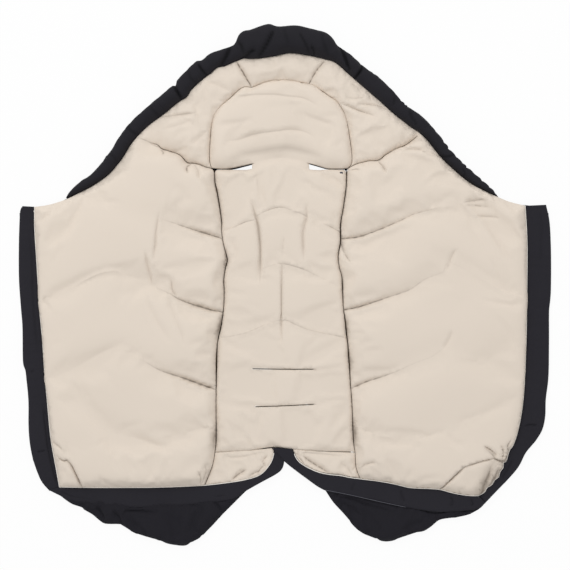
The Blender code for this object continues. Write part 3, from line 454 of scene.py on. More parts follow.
def triangles(loops, seams, spacing, fine, rows=()):
    """Points and triangles inside the first loop and outside the others, with edges on every seam.
    rows asks for more points beside a line: (line, distances, step along it). Points beside lines
    keep CLOSEST apart where rows cross, and CLEAR of every edge."""
    points, edges = [], []
    for loop in loops:
        first = sum(map(len, points))
        points.append(loop)
        edges += [(first + k, first + (k + 1) % len(loop)) for k in range(len(loop))]
    for seam in seams:
        first = sum(map(len, points))
        points.append(seam)
        edges += [(first + k, first + k + 1) for k in range(len(seam) - 1)]
    lines = [closed_path(loop) for loop in loops] + list(seams)
    beside = [path + sideways(path) * fine * side for path in lines for side in (-1, 1)] if fine else []
    low, high = loops[0].min(axis=0), loops[0].max(axis=0)
    wide = np.arange(low[0], high[0], spacing)
    filler = [np.column_stack((wide + spacing / 2 * (k % 2), np.full(len(wide), y)))
              for k, y in enumerate(np.arange(low[1], high[1], spacing * ROW_HEIGHT))]

    def kept(candidates, clear):
        keep = inside(candidates, loops[0])
        for path in lines:
            keep &= nearest(candidates, path)[0] > clear
        for hole in loops[1:]:
            keep &= ~inside(candidates, hole)
        return candidates[keep]

    for path, distances, step in rows:
        path = even(path, step)
        beside += [path + sideways(path) * distance for distance in distances]
    filler = np.vstack(filler)
    if beside:
        extra = kept(np.vstack(beside), max(fine * 0.9, CLEAR))
        extra = extra[np.unique(np.round(extra / CLOSEST), axis=0, return_index=True)[1]]
        points.append(extra)
    for path, distances, step in rows:
        filler = filler[nearest(filler, path)[0] > max(distances) + spacing * 0.3]
    points.append(kept(filler, fine + spacing * 0.5))
    flat = np.vstack(points)
    found = delaunay_2d_cdt([Vector(p) for p in flat], edges, [], 0, 1e-7)
    spots = np.array([tuple(p) for p in found[0]])
    faces = np.array(found[2])
    middles = spots[faces].mean(axis=1)
    good = inside(middles, loops[0])
    for hole in loops[1:]:
        good &= ~inside(middles, hole)
    a, b, c = (spots[faces[:, k]] for k in range(3))
    size = (b - a)[:, 0] * (c - a)[:, 1] - (b - a)[:, 1] * (c - a)[:, 0]
    faces[size < 0] = faces[size < 0][:, ::-1]
    return spots, faces[good & (np.abs(size) > 1e-12)]


def border_loops(faces):
    """The open edges of a mesh, as rings of vertex numbers in the faces' own direction."""
    edges = {}
    for face in faces:
        for a, b in zip(face, np.roll(face, -1)):
            edges[int(a), int(b)] = True
    following = {a: b for a, b in edges if (b, a) not in edges}
    rings = []
    while following:
        ring = [next(iter(following))]
        while ring[-1] in following:
            ring.append(following.pop(ring[-1]))
        rings.append(ring[:-1])
    return rings


patch = triangles([read_off("0,0 0,20 20,20 20,0")], [], 0.005, 0)[1]
print("a patch of 20 pixels:", len(patch), "triangles,", len(border_loops(patch)), "border")

# %% [markdown]
# ## Quilted relief
# Wadding is thick between the seams and pressed thin under them. The height of the lining is the
# height of a crown, drawn down beside each line of stitching. Where the stitching is tight, near
# the harness slit, the cloth dives into a sharp valley. Where it runs out into the flap, the same
# seam is a broad soft hollow. Sculpting could do this too, but formulas keep it easy to adjust.
# Slow noise keeps two cushions from looking alike.

# %% Shapes of a soft surface


def bell(gap, width):
    """1 on a line, falling off softly with the distance from it."""
    return np.exp(-(gap / width) ** 2)


def fading(share, quick, least=0):
    """1 along most of a line, less towards both of its ends."""
    return np.clip(np.minimum(share, 1 - share) * quick, least, 1)


def along(share, values):
    """Values given at even places along a line, between them."""
    return np.interp(share, np.linspace(0, 1, len(values)), values)


def firmness(hold):
    """Stitching that holds less than a quarter only hollows the cloth. Above that it grows firm."""
    return np.clip((hold - 0.25) / 0.75, 0, 1)


def drift(points, size, seed):
    """Slow random waves of about one unit, the same on each run."""
    dice = np.random.default_rng(seed)
    total = np.zeros(len(points))
    for _ in range(7):
        turn, phase = dice.uniform(0, math.tau, 2)
        pitch = size * dice.uniform(0.6, 1.6)
        total += np.sin(points @ (math.cos(turn), math.sin(turn)) * math.tau / pitch + phase)
    return total / 2.6


print("a bell 1 mm wide is", round(float(bell(0.001, 0.001)), 2), "at 1 mm")

# %% [markdown]
# ## Gathers
# An edge that is sewn to elastic has more cloth than length. The spare cloth stands up in ripples
# that start at the edge, lean a little and die out. Each has its own height and reach.

# %% Ripples beside a gathered edge
KNOTS = 400
RIPPLE_SHADE = 0.0024


def ripples(points, path, depth, pitch, reach):
    """Height and shade of the ripples that run in from a gathered edge."""
    gap, share = nearest(points, path)
    dice = np.random.default_rng(len(path))
    knots = np.cumsum(dice.uniform(0.6, 1.5, KNOTS) * pitch)
    place = share * length_marks(path)[-1]
    place = place + gap * np.interp(place, knots, dice.uniform(-1.2, 1.2, KNOTS))
    wave = np.sin(np.interp(place, knots, np.arange(KNOTS) * math.tau))
    wave *= np.interp(place, knots, dice.uniform(0.0, 1.0, KNOTS))
    fall = np.exp(-gap / reach / np.interp(place, knots, dice.uniform(0.4, 1.5, KNOTS)))
    return depth * wave * fall, 0.4 * np.clip(-wave, 0, 1) * np.exp(-gap / RIPPLE_SHADE)


print("ripples on the ruler reach", round(float(ripples(ruler, ruler, 0.001, 0.01, 0.01)[0].max()), 4), "m")

# %% Heights of a panel
EDGE_HEIGHT = 0.0088
SEWN_HEIGHT = 0.0095
SHELL_TOP = 0.0033
VALLEY = 0.0055
HOLLOW = 0.022
# DARK_LINE and DARKNESS: width and strength of the shade painted into the groove of a tight seam.
DARK_LINE = 0.0010
DARKNESS = 0.62
EDGE_ROLL = 0.0075
STITCH_CHANGE = 0.009
SLOT_DIP, SLOT_REACH, SLOT_SHADE = 0.0012, 0.002, 0.0006


def relief(points, outline, holes, seams, folds, crown, edge=EDGE_HEIGHT, roll_in=EDGE_ROLL, flush=(),
           gathers=(), shades=(), dark=DARKNESS, seed=1):
    """Height of a quilted surface, and the shade painted into its seams, folds, slots and dark lines."""
    free, crease_shade = np.ones(len(points)), np.zeros(len(points))
    for path, tight in seams:
        gap, share = nearest(points, path)
        hold = along(share, tight)
        firm = firmness(hold)
        free *= 1 - np.maximum(firm * np.exp(-gap / VALLEY), 0.45 * hold ** 0.7 * bell(gap, HOLLOW))
        # Painted shade in the groove of each firm seam, stronger and weaker along it where the stitches pull.
        stitch_shade = np.clip(1 + 0.5 * drift(points, STITCH_CHANGE, seed + 9), 0.3, 1.4)
        crease_shade = np.maximum(crease_shade, dark * firm * stitch_shade * bell(gap, DARK_LINE))
    height = SEWN_HEIGHT + (crown * (1 + 0.06 * drift(points, 0.12, seed)) - SEWN_HEIGHT) * free
    for path, depth, width, upper in folds:
        gap, share = nearest(points, path)
        ends = fading(share, 4)
        reach = np.where(left_of(points, path), upper, width) if upper else width
        height -= depth * bell(gap, reach) * ends
        # Painted shade along the bottom of a steep fold.
        narrow = min(width, upper or width)
        steep = min(max(depth / narrow - 0.3, 0) / 1.8, 1)
        crease_shade = np.maximum(crease_shade, 1.1 * dark * steep * bell(gap / narrow, 0.45) * ends)
    # Gathers add ripples, with painted shade in their troughs.
    for gathering in gathers:
        lift, shade = ripples(points, *gathering)
        height += lift
        crease_shade = np.maximum(crease_shade, shade)
    for path, level, reach in flush:
        gap = nearest(points, path)[0]
        height = level + (height - level) * (1 - bell(gap, reach))
    gap = np.min([nearest(points, path)[0] for path in outline], axis=0)
    height = edge + (height - edge) * (1 - np.exp(-gap / roll_in) * 0.93)
    # Slots sink a little, with painted shade round their edges.
    for path in holes:
        gap = nearest(points, path)[0]
        height -= SLOT_DIP * np.exp(-gap / SLOT_REACH)
        crease_shade = np.maximum(crease_shade, 0.35 * np.exp(-gap / SLOT_SHADE))
    # Painted shadow lines, such as the dark gap along a harness slit and the shade in a puckered corner.
    for path, strengths, width in shades:
        gap, share = nearest(points, path)
        crease_shade = np.maximum(crease_shade, along(share, strengths) * np.exp(-gap / width))
    return height, crease_shade


print("sewn down to", SEWN_HEIGHT * 1000, "mm, and to", EDGE_HEIGHT * 1000, "mm at the edge")

# %% [markdown]
# ## Where the footmuff folds
# Each flap folds over the seat, and the hood folds up. A piece could be cut at those lines and each
# half ride on its own body, but real cloth runs on. So one piece runs across the line, and the
# undersides of the pads and the outer cloth have close rows of points along it. Here each piece is
# only set in place, with its transform applied.

# %% Fold lines
SIDES = {"left": -1, "right": 1}
FOLD_START, FOLD_END = 0.204, 0.236
HOOD_START, HOOD_END = (0, 0.297, 0), (0, 0.335, 0)
HALF_FOLD = 0.022
ROW_GAP = 0.002
ALONG_FOLD = 0.009
FOOT_END = -0.41
HOOD_REACH = 0.25
FOLD_ROWS = np.arange(-HALF_FOLD, HALF_FOLD + 0.0001, ROW_GAP)
FOLD_MIDDLE, HOOD_MIDDLE = (FOLD_START + FOLD_END) / 2, (HOOD_START[1] + HOOD_END[1]) / 2
FOLD_LINES = [np.array(((x, FOOT_END), (x, HOOD_MIDDLE - HALF_FOLD))) for x in (-FOLD_MIDDLE, FOLD_MIDDLE)]
FOLD_LINES.append(np.array(((-HOOD_REACH, HOOD_MIDDLE), (HOOD_REACH, HOOD_MIDDLE))))
BEND_ROWS = [(path, FOLD_ROWS, ALONG_FOLD) for path in FOLD_LINES]


def bend_with_flap(piece, key):
    key + "_flap"
    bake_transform(piece)


def bend_with_hood(piece):
    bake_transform(piece)


print("the flaps fold at", round(FOLD_MIDDLE, 3), "m, the hood at", round(HOOD_MIDDLE, 3), "m")

# %% [markdown]
# ## Letting the cloth billow
# Heights alone look modelled. A short cloth simulation adds what stitching does to real cloth: it
# is pinned along every seam and edge, grows a few per cent, and light pressure lifts it, so that it
# puckers beside the thread and sags between. The motion is capped, because the wadding holds it.

# %% A new object


def put(name, spots, faces, material=None, crease_shade=None):
    """An object from points and faces, with the painted shade values that the cloths read."""
    mesh = bpy.data.meshes.new(name)
    mesh.from_pydata([tuple(map(float, p)) for p in spots], [], [tuple(map(int, f)) for f in faces])
    if material:
        mesh.materials.append(material)
    mesh.shade_smooth()
    if crease_shade is not None:
        marks = mesh.attributes.new("crease_shade", "FLOAT", "POINT")
        marks.data.foreach_set("value", np.ravel(crease_shade).astype(np.float32))
    thing = bpy.data.objects.new(name, mesh)
    bpy.context.collection.objects.link(thing)
    return thing


# %% Cloth simulation
FRAMES = 16


def billow(spots, faces, pinned, pressure, growth, cap):
    """The points after a short simulation, none moved by more than the cap."""
    trial = put("trial", spots, faces)
    group = trial.vertex_groups.new(name="sewn")
    weights = np.round(pinned, 2)
    for weight in sorted(set(weights[weights > 0])):
        group.add([int(k) for k in np.flatnonzero(weights == weight)], float(weight), "REPLACE")
    cloth_modifier = trial.modifiers.new("cloth", "CLOTH")
    sewing = cloth_modifier.settings
    sewing.quality = 5
    sewing.mass = 0.3
    sewing.tension_stiffness = 20
    sewing.compression_stiffness = 20
    sewing.shear_stiffness = 8
    sewing.bending_stiffness = 0.15
    sewing.vertex_group_mass = "sewn"
    sewing.shrink_min = -growth
    sewing.use_pressure = True
    sewing.uniform_pressure_force = pressure
    sewing.effector_weights.gravity = 0
    cloth_modifier.collision_settings.use_collision = False
    cloth_modifier.point_cache.frame_start = 1
    cloth_modifier.point_cache.frame_end = FRAMES
    for number in range(1, FRAMES + 1):
        bpy.context.scene.frame_set(number)
    shown = trial.evaluated_get(bpy.context.evaluated_depsgraph_get())
    moved = np.array([v.co for v in shown.data.vertices])
    bpy.context.scene.frame_set(1)
    old = trial.data
    bpy.data.objects.remove(trial, do_unlink=True)
    bpy.data.meshes.remove(old)
    step = moved - spots
    size = np.linalg.norm(step, axis=1, keepdims=True)
    return spots + step * np.minimum(1, cap / np.maximum(size, 1e-9))


print("simulated frames for each pad:", FRAMES)

# %% [markdown]
# ## A quilted pad
# A pad is closed: the quilted skin on top, a wall round its edge, and a flat underside that nobody
# sees, so it has fewer points. A solidified sheet would be simpler, but it would be hollow, and as
# bumpy below as above.

# %% Closing a pad
UNDERSIDE_SHADE = 0.5


def closed_pad(name, spots, faces, crease_shade, low, spacing, material, flush):
    """Closed pad from a top skin: walls at its open edges and a flat underside with fewer points. The
    edge is sharp where the pad runs on flush into its neighbour, so that no line shows there."""
    rings = border_loops(faces)
    rings.sort(key=lambda ring: -len(ring))
    loops = [spots[ring][:, :2] for ring in rings]
    under, under_faces = triangles(loops, [], spacing, 0, BEND_ROWS)
    count = len(spots)
    spots = np.vstack((spots, np.column_stack((under, np.full(len(under), low)))))
    shade = np.r_[crease_shade, np.full(len(under), UNDERSIDE_SHADE)]
    walls, first = [], count
    for ring in rings:
        for k in range(len(ring)):
            n = (k + 1) % len(ring)
            walls.append((ring[k], first + k, first + n, ring[n]))
        first += len(ring)
    every = [tuple(f) for f in faces] + walls + [tuple(f[::-1] + count) for f in under_faces]
    thing = put(name, spots, every, material, shade)
    on = np.zeros(len(spots), bool)
    for path, _, _ in flush:
        on[:count] |= lies_on(spots[:count, :2], path)
    border = {tuple(sorted(pair)) for ring in rings for pair in zip(ring, ring[1:] + ring[:1])}
    for edge in thing.data.edges:
        a, b = sorted(edge.vertices)
        if on[a] and on[b] and (a, b) in border:
            edge.use_edge_sharp = True
    return thing


# %% Panel, relief, simulation and walls
CUT_EASE = 0.0003
BESIDE_SEAM = 0.0014
GATHER_ROWS = (0.0014, 0.003, 0.0052, 0.008)


def rows_beside(path, width, shares, step):
    """Asks for points on a line, and at shares of a width to both sides of it."""
    return path, [side * width * k for side in (-1, 1) for k in shares] + [0.0], step


def quilt(name, loops, seams, folds, crown, material=lining_cloth, spacing=0.0045, pressure=1.2, growth=0.035,
          cap=0.0035, low=SHELL_TOP, flush=(), gathers=(), **shape):
    """A quilted pad. Its first loop is its outline, the others are slots. It is cut a hair smaller than
    its outline, except where it lies flush with its neighbour."""
    outer = inset(loops[0], CUT_EASE)
    for path, _, _ in flush:
        on = lies_on(loops[0], path)
        outer[on] = loops[0][on]
    loops = [outer] + list(loops[1:])
    rows = [rows_beside(path, width, (0.5, 1.2), max(0.0018, 0.8 * width)) for path, _, width, _ in folds]
    rows += [(path, [side * gap for side in (-1, 1) for gap in GATHER_ROWS], pitch / 5)
             for path, _, pitch, _ in gathers]
    rows += [rows_beside(path, width, (0.6, 1.5), 0.0016) for path, _, width in shape.get("shades", ())
             if nearest(path, closed_path(outer))[0].max() > 0.002]
    flat, faces = triangles(loops, [path for path, _ in seams], spacing, BESIDE_SEAM, rows)
    outline = without(closed_path(outer), [path for path, _, _ in flush])
    holes = [closed_path(loop) for loop in loops[1:]]
    height, crease_shade = relief(flat, outline, holes, seams, folds, crown, flush=flush, gathers=gathers, **shape)
    spots = np.column_stack((flat, height))
    pinned = np.zeros(len(spots))
    for path, tight in seams:
        gap, share = nearest(flat, path)
        on = gap < TOUCHING
        pinned[on] = firmness(along(share, tight)[on])
    for ring in border_loops(faces):
        pinned[ring] = 1
    still = [bell(nearest(flat, path)[0], reach) for path, _, reach in flush] + [np.zeros(len(flat))]
    moved = billow(spots, faces, pinned, pressure, growth, cap)
    spots += (moved - spots) * (1 - np.max(still, axis=0))[:, None]
    thing = closed_pad(name, spots, faces, crease_shade, low, spacing * 2, material, flush)
    print(name, len(thing.data.vertices), "points, highest", round(float(spots[:, 2].max()) * 1000, 1), "mm")
    return thing


# %% Seams, creases and shades from the photograph


def seam(text, *tight):
    """A line of stitching, and how tight it is at even places along it."""
    return line(text, 0.0035), tight


def fold(text, depth, width, upper=None):
    """A fold in the cloth. upper is its width on the left of the way along it, if that differs."""
    return line(text), depth, width, upper


def creases(table):
    """Creases from a table. A row gives depth and width in tenths of a millimetre, then the points."""
    rows = [row.split(maxsplit=2) for row in table.strip().splitlines()]
    return [fold(points, float(depth) / 10000, float(width) / 10000) for depth, width, points in rows]


def shadow(text, width, *strengths):
    """A dark line, its width, and how dark it is at even places along it."""
    return line(text), strengths, width


print("a crease:", [round(float(v), 4) for v in creases("22 28 160,212 156,262")[0][1:3]])

# %% [markdown]
# ## The two wings
# Each wing is one quilted panel on the real object: the side section beside the seat and the front
# flap beyond it, with nothing but a soft fold between them. Two pads with a gap would be easy to
# turn, but the gap would show. So it is one pad here, running across the flap's fold line. Four
# lines of stitching leave the harness slit tight and sharp and run out softly towards the zip.

# %% Wing outlines
facing_seam_left = ("35.3,207 35.3,228 37.3,260 40.2,308 43.1,340 45.3,372 48.2,404 51.2,436 54.5,456 "
                    "57.5,472 60,486.5")
facing_seam_right = ("524.5,206 526.3,238 526.5,262 526,310 525.3,346 523,394 518.5,425 513,443.5 509.3,449 "
                     "507.2,455 505.6,460.5 502.6,462.5 502.6,467 499.3,471.5 498,476.5 494,479.5 491,484.5 "
                     "486.5,487 484,491.5 478,495")
foot_rim_left = "60,486.5 90,487 125,487 155,486.8 180,486 205,484.8"
foot_rim_right = "360,478.3 380,480.8 395,483.6 410,487 430,488 440,489 450,491.7 460,493.8 470,495 478,495"
foot_edge_left = "205,484.8 225,482.5 245,479.3 260,474.3 269.5,464.5 273.5,455 274,447.5"
foot_edge_right = "292.5,448.4 297,459 305,465.5 318,471.5 330,474 340,475 350,477 360,478.3"
foot_seam_left = "215,452 212.5,465 205,484.8"
foot_seam_right = "355,452 356,467 360,478.3"

SLIT_STEP = 0.003
side_left, side_right = "152.3,143.7 152.3,123.3", "416.8,131.5 416.8,136.6"

left_loop = joined(line(neck_left)[::-1], fine_line(side_left), fine_line(rim_left)[::-1],
                   line("69,198.5 60,202 48,205.3 35.3,207"), line(facing_seam_left), line(foot_rim_left),
                   line(foot_seam_left)[::-1], line(slit_left, SLIT_STEP)[::-1])
right_loop = joined(line(neck_right), line(slit_right, SLIT_STEP), line(foot_seam_right),
                    line(foot_rim_right), line(facing_seam_right, SLIT_STEP)[::-1],
                    line("524.5,206 509,202 497,197"), fine_line(rim_right)[::-1], fine_line(side_right))
SIDE_EDGE = (fine_line(side_left), 0.0135, 0.016)
OTHER_SIDE_EDGE = (fine_line(side_right), 0.0095, 0.006)
for key, loop in (("left", left_loop), ("right", right_loop)):
    print(key, "wing of", round(abs(signed_area(loop)), 4), "square metres")

# %% Left wing
WING_CROWN = 0.0245
RIM_GATHERS = (0.0014, 0.015, 0.010)

left_seams = [seam("222.5,239 191,229 158,219 131,213 102,202 78,196.5",
                   1, 0.95, 0.6, 0.2, 0.12, 0.1, 0.1, 0.05),
              seam("222,312 205,308 182,300 171,294 150,285 115,272 80,285 42,300",
                   1, 0.9, 0.45, 0.15, 0.07, 0.05, 0.03, 0.01),
              seam("216.2,389.5 182,377 161,369.5 138,356 118,348 85,363 46,383",
                   1, 0.95, 0.6, 0.25, 0.22, 0.16, 0.08, 0.04),
              seam("215.5,424 190,430 150,438 116,433 82,443 52,452", 0.35, 0.12, 0.12, 0.1, 0.08, 0.05),
              seam("152.3,143.7 145,140.5 138,139 131,140.5", 0.75, 0.5, 0.3)]
left_folds = creases("""
    22  28 160,212 158.5,228 157,246 156,262
    20  30 146,252 149,266 154,289
    18  45 148,296 156,316 172,342
    24  24 172,280 174,291 179,297
    18  40 169,296 176,316 187,346
    64  18 70,459 74,466 79,477 85,489
    34  14 60,456 66,460 72,457
    22  24 50,441 58,443 66,449
    10  30 44,300 52,306 54,313
    26  20 197,468 201,477 200,488
    20  20 205,462 206,472 203,484
    44  22 192,164.5 187,168 188,175
    34  20 161,150 164,153 163,157
    26  20 150,143.5 155,146 161,148.5
    22  26 192,163 198,170 199,180
    14  60 138,436 150,441 172,446
    10  60 120,430 132,424 150,421""")
left_shades = [shadow(slit_left, 0.0007, 0.3, 0.8, 1, 1, 0.9, 0.6, 0.5, 0.9, 0.9, 0.6, 0.5, 0.5, 0.9, 1, 0.7,
                      0.8, 1, 0.7, 0.7, 0.6, 0.5, 0.8, 1, 0.3),
               shadow(neck_left, 0.0008, 0.2, 0.5, 0.9, 0.5, 0.6, 0.6, 1, 0.6, 0.4, 0.7, 0.9),
               shadow("224.6,252 225.6,260 224,268", 0.0014, 0.3, 0.8, 0.3),
               shadow("222.3,314 219.5,327 217.3,340", 0.0022, 0.3, 0.8, 0.3),
               shadow("215,424 214.5,436 213.5,447", 0.0032, 0.1, 0.6, 0.3),
               shadow("66,460 70,459.5 74,466 79,477 84,487", 0.0011, 0.3, 0.6, 0.5, 0.7, 0.6),
               shadow("210,469 207.5,477 205.5,484", 0.0016, 0.2, 0.5, 0.6)]


def wing(key, loop, seams, folds, shades, flush, *gathers):
    """The lining and wadding of one wing, in one pad."""
    pad = quilt(key + "_wing", [loop], seams, folds, WING_CROWN, flush=[flush], shades=shades,
                seed=5 + SIDES[key], gathers=gathers)
    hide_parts(key + "_side_lining", key + "_side_wadding", key + "_flap_lining", key + "_flap_wadding")
    bend_with_flap(pad, key)


wing("left", left_loop, left_seams, left_folds, left_shades, SIDE_EDGE, (line(rim_left), *RIM_GATHERS))

# %% Right wing
right_seams = [seam("340.5,239 358,237 376,231 398,222 414,215 439.5,209 467,205 488,197",
                    1, 0.8, 0.75, 0.6, 0.5, 0.2, 0.1, 0.05),
               seam("343.6,310 361,306 385,298 407,290.5 423,280 440,273 449,264 490,285 525,300",
                    1, 0.8, 0.6, 0.45, 0.35, 0.3, 0.12, 0.05, 0.03),
               seam("351,388 367,381 387,374 412,363 430,356 445,347 458,354 485,368 523,383",
                    1, 0.7, 0.4, 0.32, 0.32, 0.2, 0.15, 0.08, 0.04),
               seam("353.7,424 380,434 412,436 440,429 474,438 511,451", 0.35, 0.12, 0.14, 0.12, 0.08, 0.05)]
right_folds = creases("""
    32  22 377,160.5 381,166 386,174
    20  22 402,151.5 412,150.5 423,151.5
    28  18 349,171 355,170 361,171
    22  30 454,249 449,258 444,272
    18  32 450,330 447,339 441,349
    30  22 341,246 345,254 351,263
    66  15 435,493 450,477.5 463,465
    40  15 462,465.5 478,460.5 493,456.5
    44  17 481,444 490,450 495,457
    48  17 491,457 500,461 510,466
    36  18 498,443 501,451 499,459
    36  18 508,438 505,446 510,452
    56  34 490,466 485,480 481,496
    46  22 498,466 494,478 491,489
    40  20 507,456 504,464 502,474
    36  18 476,486 480,490 481,496
    20  18 457,488 460,493 464,496
    24  22 358,468 366,463 378,460
    14  50 445,432 452,441 466,444
    14  60 416,437 430,433 446,429
    10  50 454,424 462,418 474,415
     9  50 476,300 500,304 522,305
    26  22 460,204.5 472,203 486,201
    22  19 462,207.2 475,207.2 488,208.6
    20  22 473,217.5 485,217.2 498,218.6""")
right_shades = [shadow(slit_right, 0.0007, 0.5, 0.9, 0.8, 0.8, 1, 1, 1, 0.5, 0.5, 0.8, 0.9, 0.6, 0.9, 1, 0.7,
                       1, 1, 0.7, 0.7, 0.7, 0.6, 0.9, 0.8, 0.2),
                shadow(neck_right, 0.0006, 0.5, 0.3, 0.5, 0.4, 0.6, 0.9, 0.4, 0.3, 0.6, 0.8),
                shadow("341.5,236 341.5,245 345,252", 0.0020, 0.4, 0.8, 0.1),
                shadow("354,417 354.6,430 355,446", 0.0028, 0.2, 0.7, 0.2),
                shadow("345.6,316 347,328 348,338", 0.0020, 0.2, 0.6, 0.1),
                shadow("349.4,350 350.2,362 351,372", 0.0018, 0.1, 0.5, 0.1),
                shadow("489,464 485,477 481,491", 0.0070, 0.2, 0.6, 0.7),
                shadow("438,489 450,477.5 463,465 492,457", 0.0009, 0.5, 0.6, 0.5, 0.3, 0.5),
                shadow("482,446 489,452 493,457.5", 0.0011, 0.2, 0.5, 0.8),
                shadow("492,457.5 498,459.5 505,460.5", 0.0012, 0.8, 0.6, 0.9),
                shadow("503,464 499,470 497,476", 0.0018, 0.4, 0.7, 0.5),
                shadow("497,468 493,477 488,486", 0.0030, 0.4, 0.7, 0.6),
                shadow("484,484 482,490 479,495", 0.0022, 0.3, 0.9, 1),
                shadow("508,452 505,457 501,461", 0.0020, 0.5, 0.8, 0.5)]

corner_line = line("516,434 508.5,451.5 500.5,468 490,484 478,495")
wing("right", right_loop, right_seams, right_folds, right_shades, OTHER_SIDE_EDGE,
     (line(rim_right), *RIM_GATHERS), (corner_line, 0.0044, 0.011, 0.012))

# %% [markdown]
# ## Head panel and hood lining
# An arched seam sets the head panel off from the hood. Beyond it the hood lining runs round in one
# horseshoe, with a dart at each end of its crown that makes it cup. One pad with the arch as a seam
# would join them at the bottom of a valley. Two pads leave the thin dark line of a real seam. The
# elastic draws the hood up along its fold line.

# %% Hood lining
hood_loop = joined(line(neck_left), line(arch_left), line(crown_seam), line(arch_right),
                   line(neck_right)[::-1], fine_line("416.8,136.6 416.8,131.5"),
                   fine_line(rim_high_right)[::-1], fine_line(crown_rim)[::-1],
                   fine_line(rim_high_left)[::-1], fine_line("152.3,123.3 152.3,143.7"))
hood_seams = [seam("237,63 243,73 251,86.5", 1, 1, 1), seam("324,62 316,72 309.6,83.5", 1, 1, 1)]
hood_folds = creases("""
    28  26 155,118 170,116.5 184,115.5 198,113
    18  36 160,130 176,127 192,120
    16  40 190,146 198,140 207,131
    14  40 205,84 218,86 232,93
    14  40 170,158 178,153 188,150
    30  22 339,103 347,106 358,110.5 375,117
    24  22 356,104 367,105 379,107 390,112.5
    18  26 345,97 356,98.5 367,96.5
    18  24 351,83.5 357,88 361,93
    22  22 366,91 369,96 371,103
    14  34 318,92 330,92 340,96
    12  50 356,140 372,133 390,130
    22  26 312,90 322,96 334,99
    16  30 242,90 232,95 222,104""")
hood_gathers = [(line(rim_high_left), 0.0020, 0.014, 0.011), (line(crown_rim), 0.0010, 0.018, 0.008),
                (line(rim_high_right), 0.0022, 0.014, 0.011)]
hood_quilt = quilt("hood_quilt", [hood_loop], hood_seams, hood_folds, 0.0175, seed=21, cap=0.003,
                   flush=[SIDE_EDGE, OTHER_SIDE_EDGE], gathers=hood_gathers)
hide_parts("left_hood_side_lining", "left_hood_side_wadding", "right_hood_side_lining",
            "right_hood_side_wadding", "hood_lining", "hood_wadding")

# %% Head panel
slot_edge_left = "211.5,168.6 216,169 224,169.3 232,168.7 243,166.4 252,164.2"
slot_edge_right = "309,163.8 318,166.4 327,168.9 336,169.2 342,169.2 347.5,168.8"
seat_join = "252,164.2 266,160 281,158.5 296,159.5 309,163.8"
SEAT_JOIN = (line(seat_join), 0.0098, 0.009)
head_loop = joined(line(arch_left)[::-1], line(slot_edge_left), line(seat_join), line(slot_edge_right),
                   line(arch_right)[::-1], line(crown_seam)[::-1])
head_folds = [fold("224,142 240,140.5 255,136 272,133 290,131 305,133 316,139", 0.0024, 0.0040, 0.0030),
              fold("226,161 246,154 263,151 280,148 298,150 313,154 329,161.5", 0.0046, 0.0150, 0.0058),
              fold("236,99 255,96.5 274,96 288,98 303,100 319,108", 0.0024, 0.0045, 0.0030),
              fold("222,128 238,124 256,123", 0.0012, 0.0045),
              fold("300,118 318,122 336,130", 0.0010, 0.0045),
              fold("262,112 280,108 298,112", 0.0008, 0.0060)]
slot_shades = [shadow(slot_edge_left, 0.0008, 0.3, 0.4, 0.8, 0.9, 0.8),
               shadow(slot_edge_right, 0.0006, 0.5, 0.6, 0.4, 0.3, 0.6)]
head_panel = quilt("head_panel", [head_loop], [], head_folds, 0.0185, seed=33, cap=0.0025, flush=[SEAT_JOIN],
                   shades=slot_shades)
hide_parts("head_lining", "head_wadding")
for piece in (hood_quilt, head_panel):
    bend_with_hood(piece)

# %% [markdown]
# ## Seat panel
# The middle panel is free along both sides, where the harness passes, and at its upper corners.
# Three chevrons of stitching cross it, and two bound slots let the crotch strap through. Its sides
# could follow the wings exactly, but a free edge wanders, so each stretch of the slit is as open as
# the photograph shows it.

# %% Outline of the seat panel
GAP_UNIT = 0.0001
SEAT_GAPS = {"left": (3, 11, 10, 7, 4, 0, 1, 9, 5, 6, 3, 1, 7, 12, 4, 12, 14, 8, 2, 0, 0, 5, 7, -2),
             "right": (4, 6, 4, 2, 8, 13, 7, 0, 1, 10, 4, 0, 9, 16, 6, 13, 9, 3, 1, 0, 1, 7, 6, -2)}
SEAT_CORNER = (ORIGIN[1] - 175) * PIXEL


def seat_side(text, gaps, turn):
    """The edge of the seat panel beside a harness slit, below its rounded corner. The gaps are how far
    the slit gapes at even places along it."""
    path = line(text, SLIT_STEP)
    path = path[path[:, 1] < SEAT_CORNER]
    return path + turn * sideways(path) * along(np.linspace(0, 1, len(path)), gaps)[:, None] * GAP_UNIT


seat_left = seat_side(slit_left, SEAT_GAPS["left"], 1)
seat_right = seat_side(slit_right, SEAT_GAPS["right"], -1)
seat_top = joined(line("214.7,173.4 215.4,171.2 217.5,169.8 224,169.6 233,169.8 246,170 252,168.7"),
                  fine_line("252,168.7 252,164.2"), line(seat_join), fine_line("309,163.8 309.5,169.5"),
                  line("309.5,169.5 318,170.2 327,169.6 338,169.6 343.6,169.8 345.8,171.2 346.6,173.4"))
seat_low = line("216,452 250,450 272,447 294,449 325,451 354,451.5")
seat_loop = np.vstack((seat_left, seat_low[1:-1], seat_right[::-1], seat_top[::-1]))
print("seat panel of", round(abs(signed_area(seat_loop)), 4), "square metres")

# %% Quilting of the seat panel
SLOT_HALF = 0.0005


def slot_hole(text, half):
    """A narrow ring round a line."""
    path = line(text)
    side = sideways(path) * half
    return np.vstack((path + side, (path - side)[::-1]))


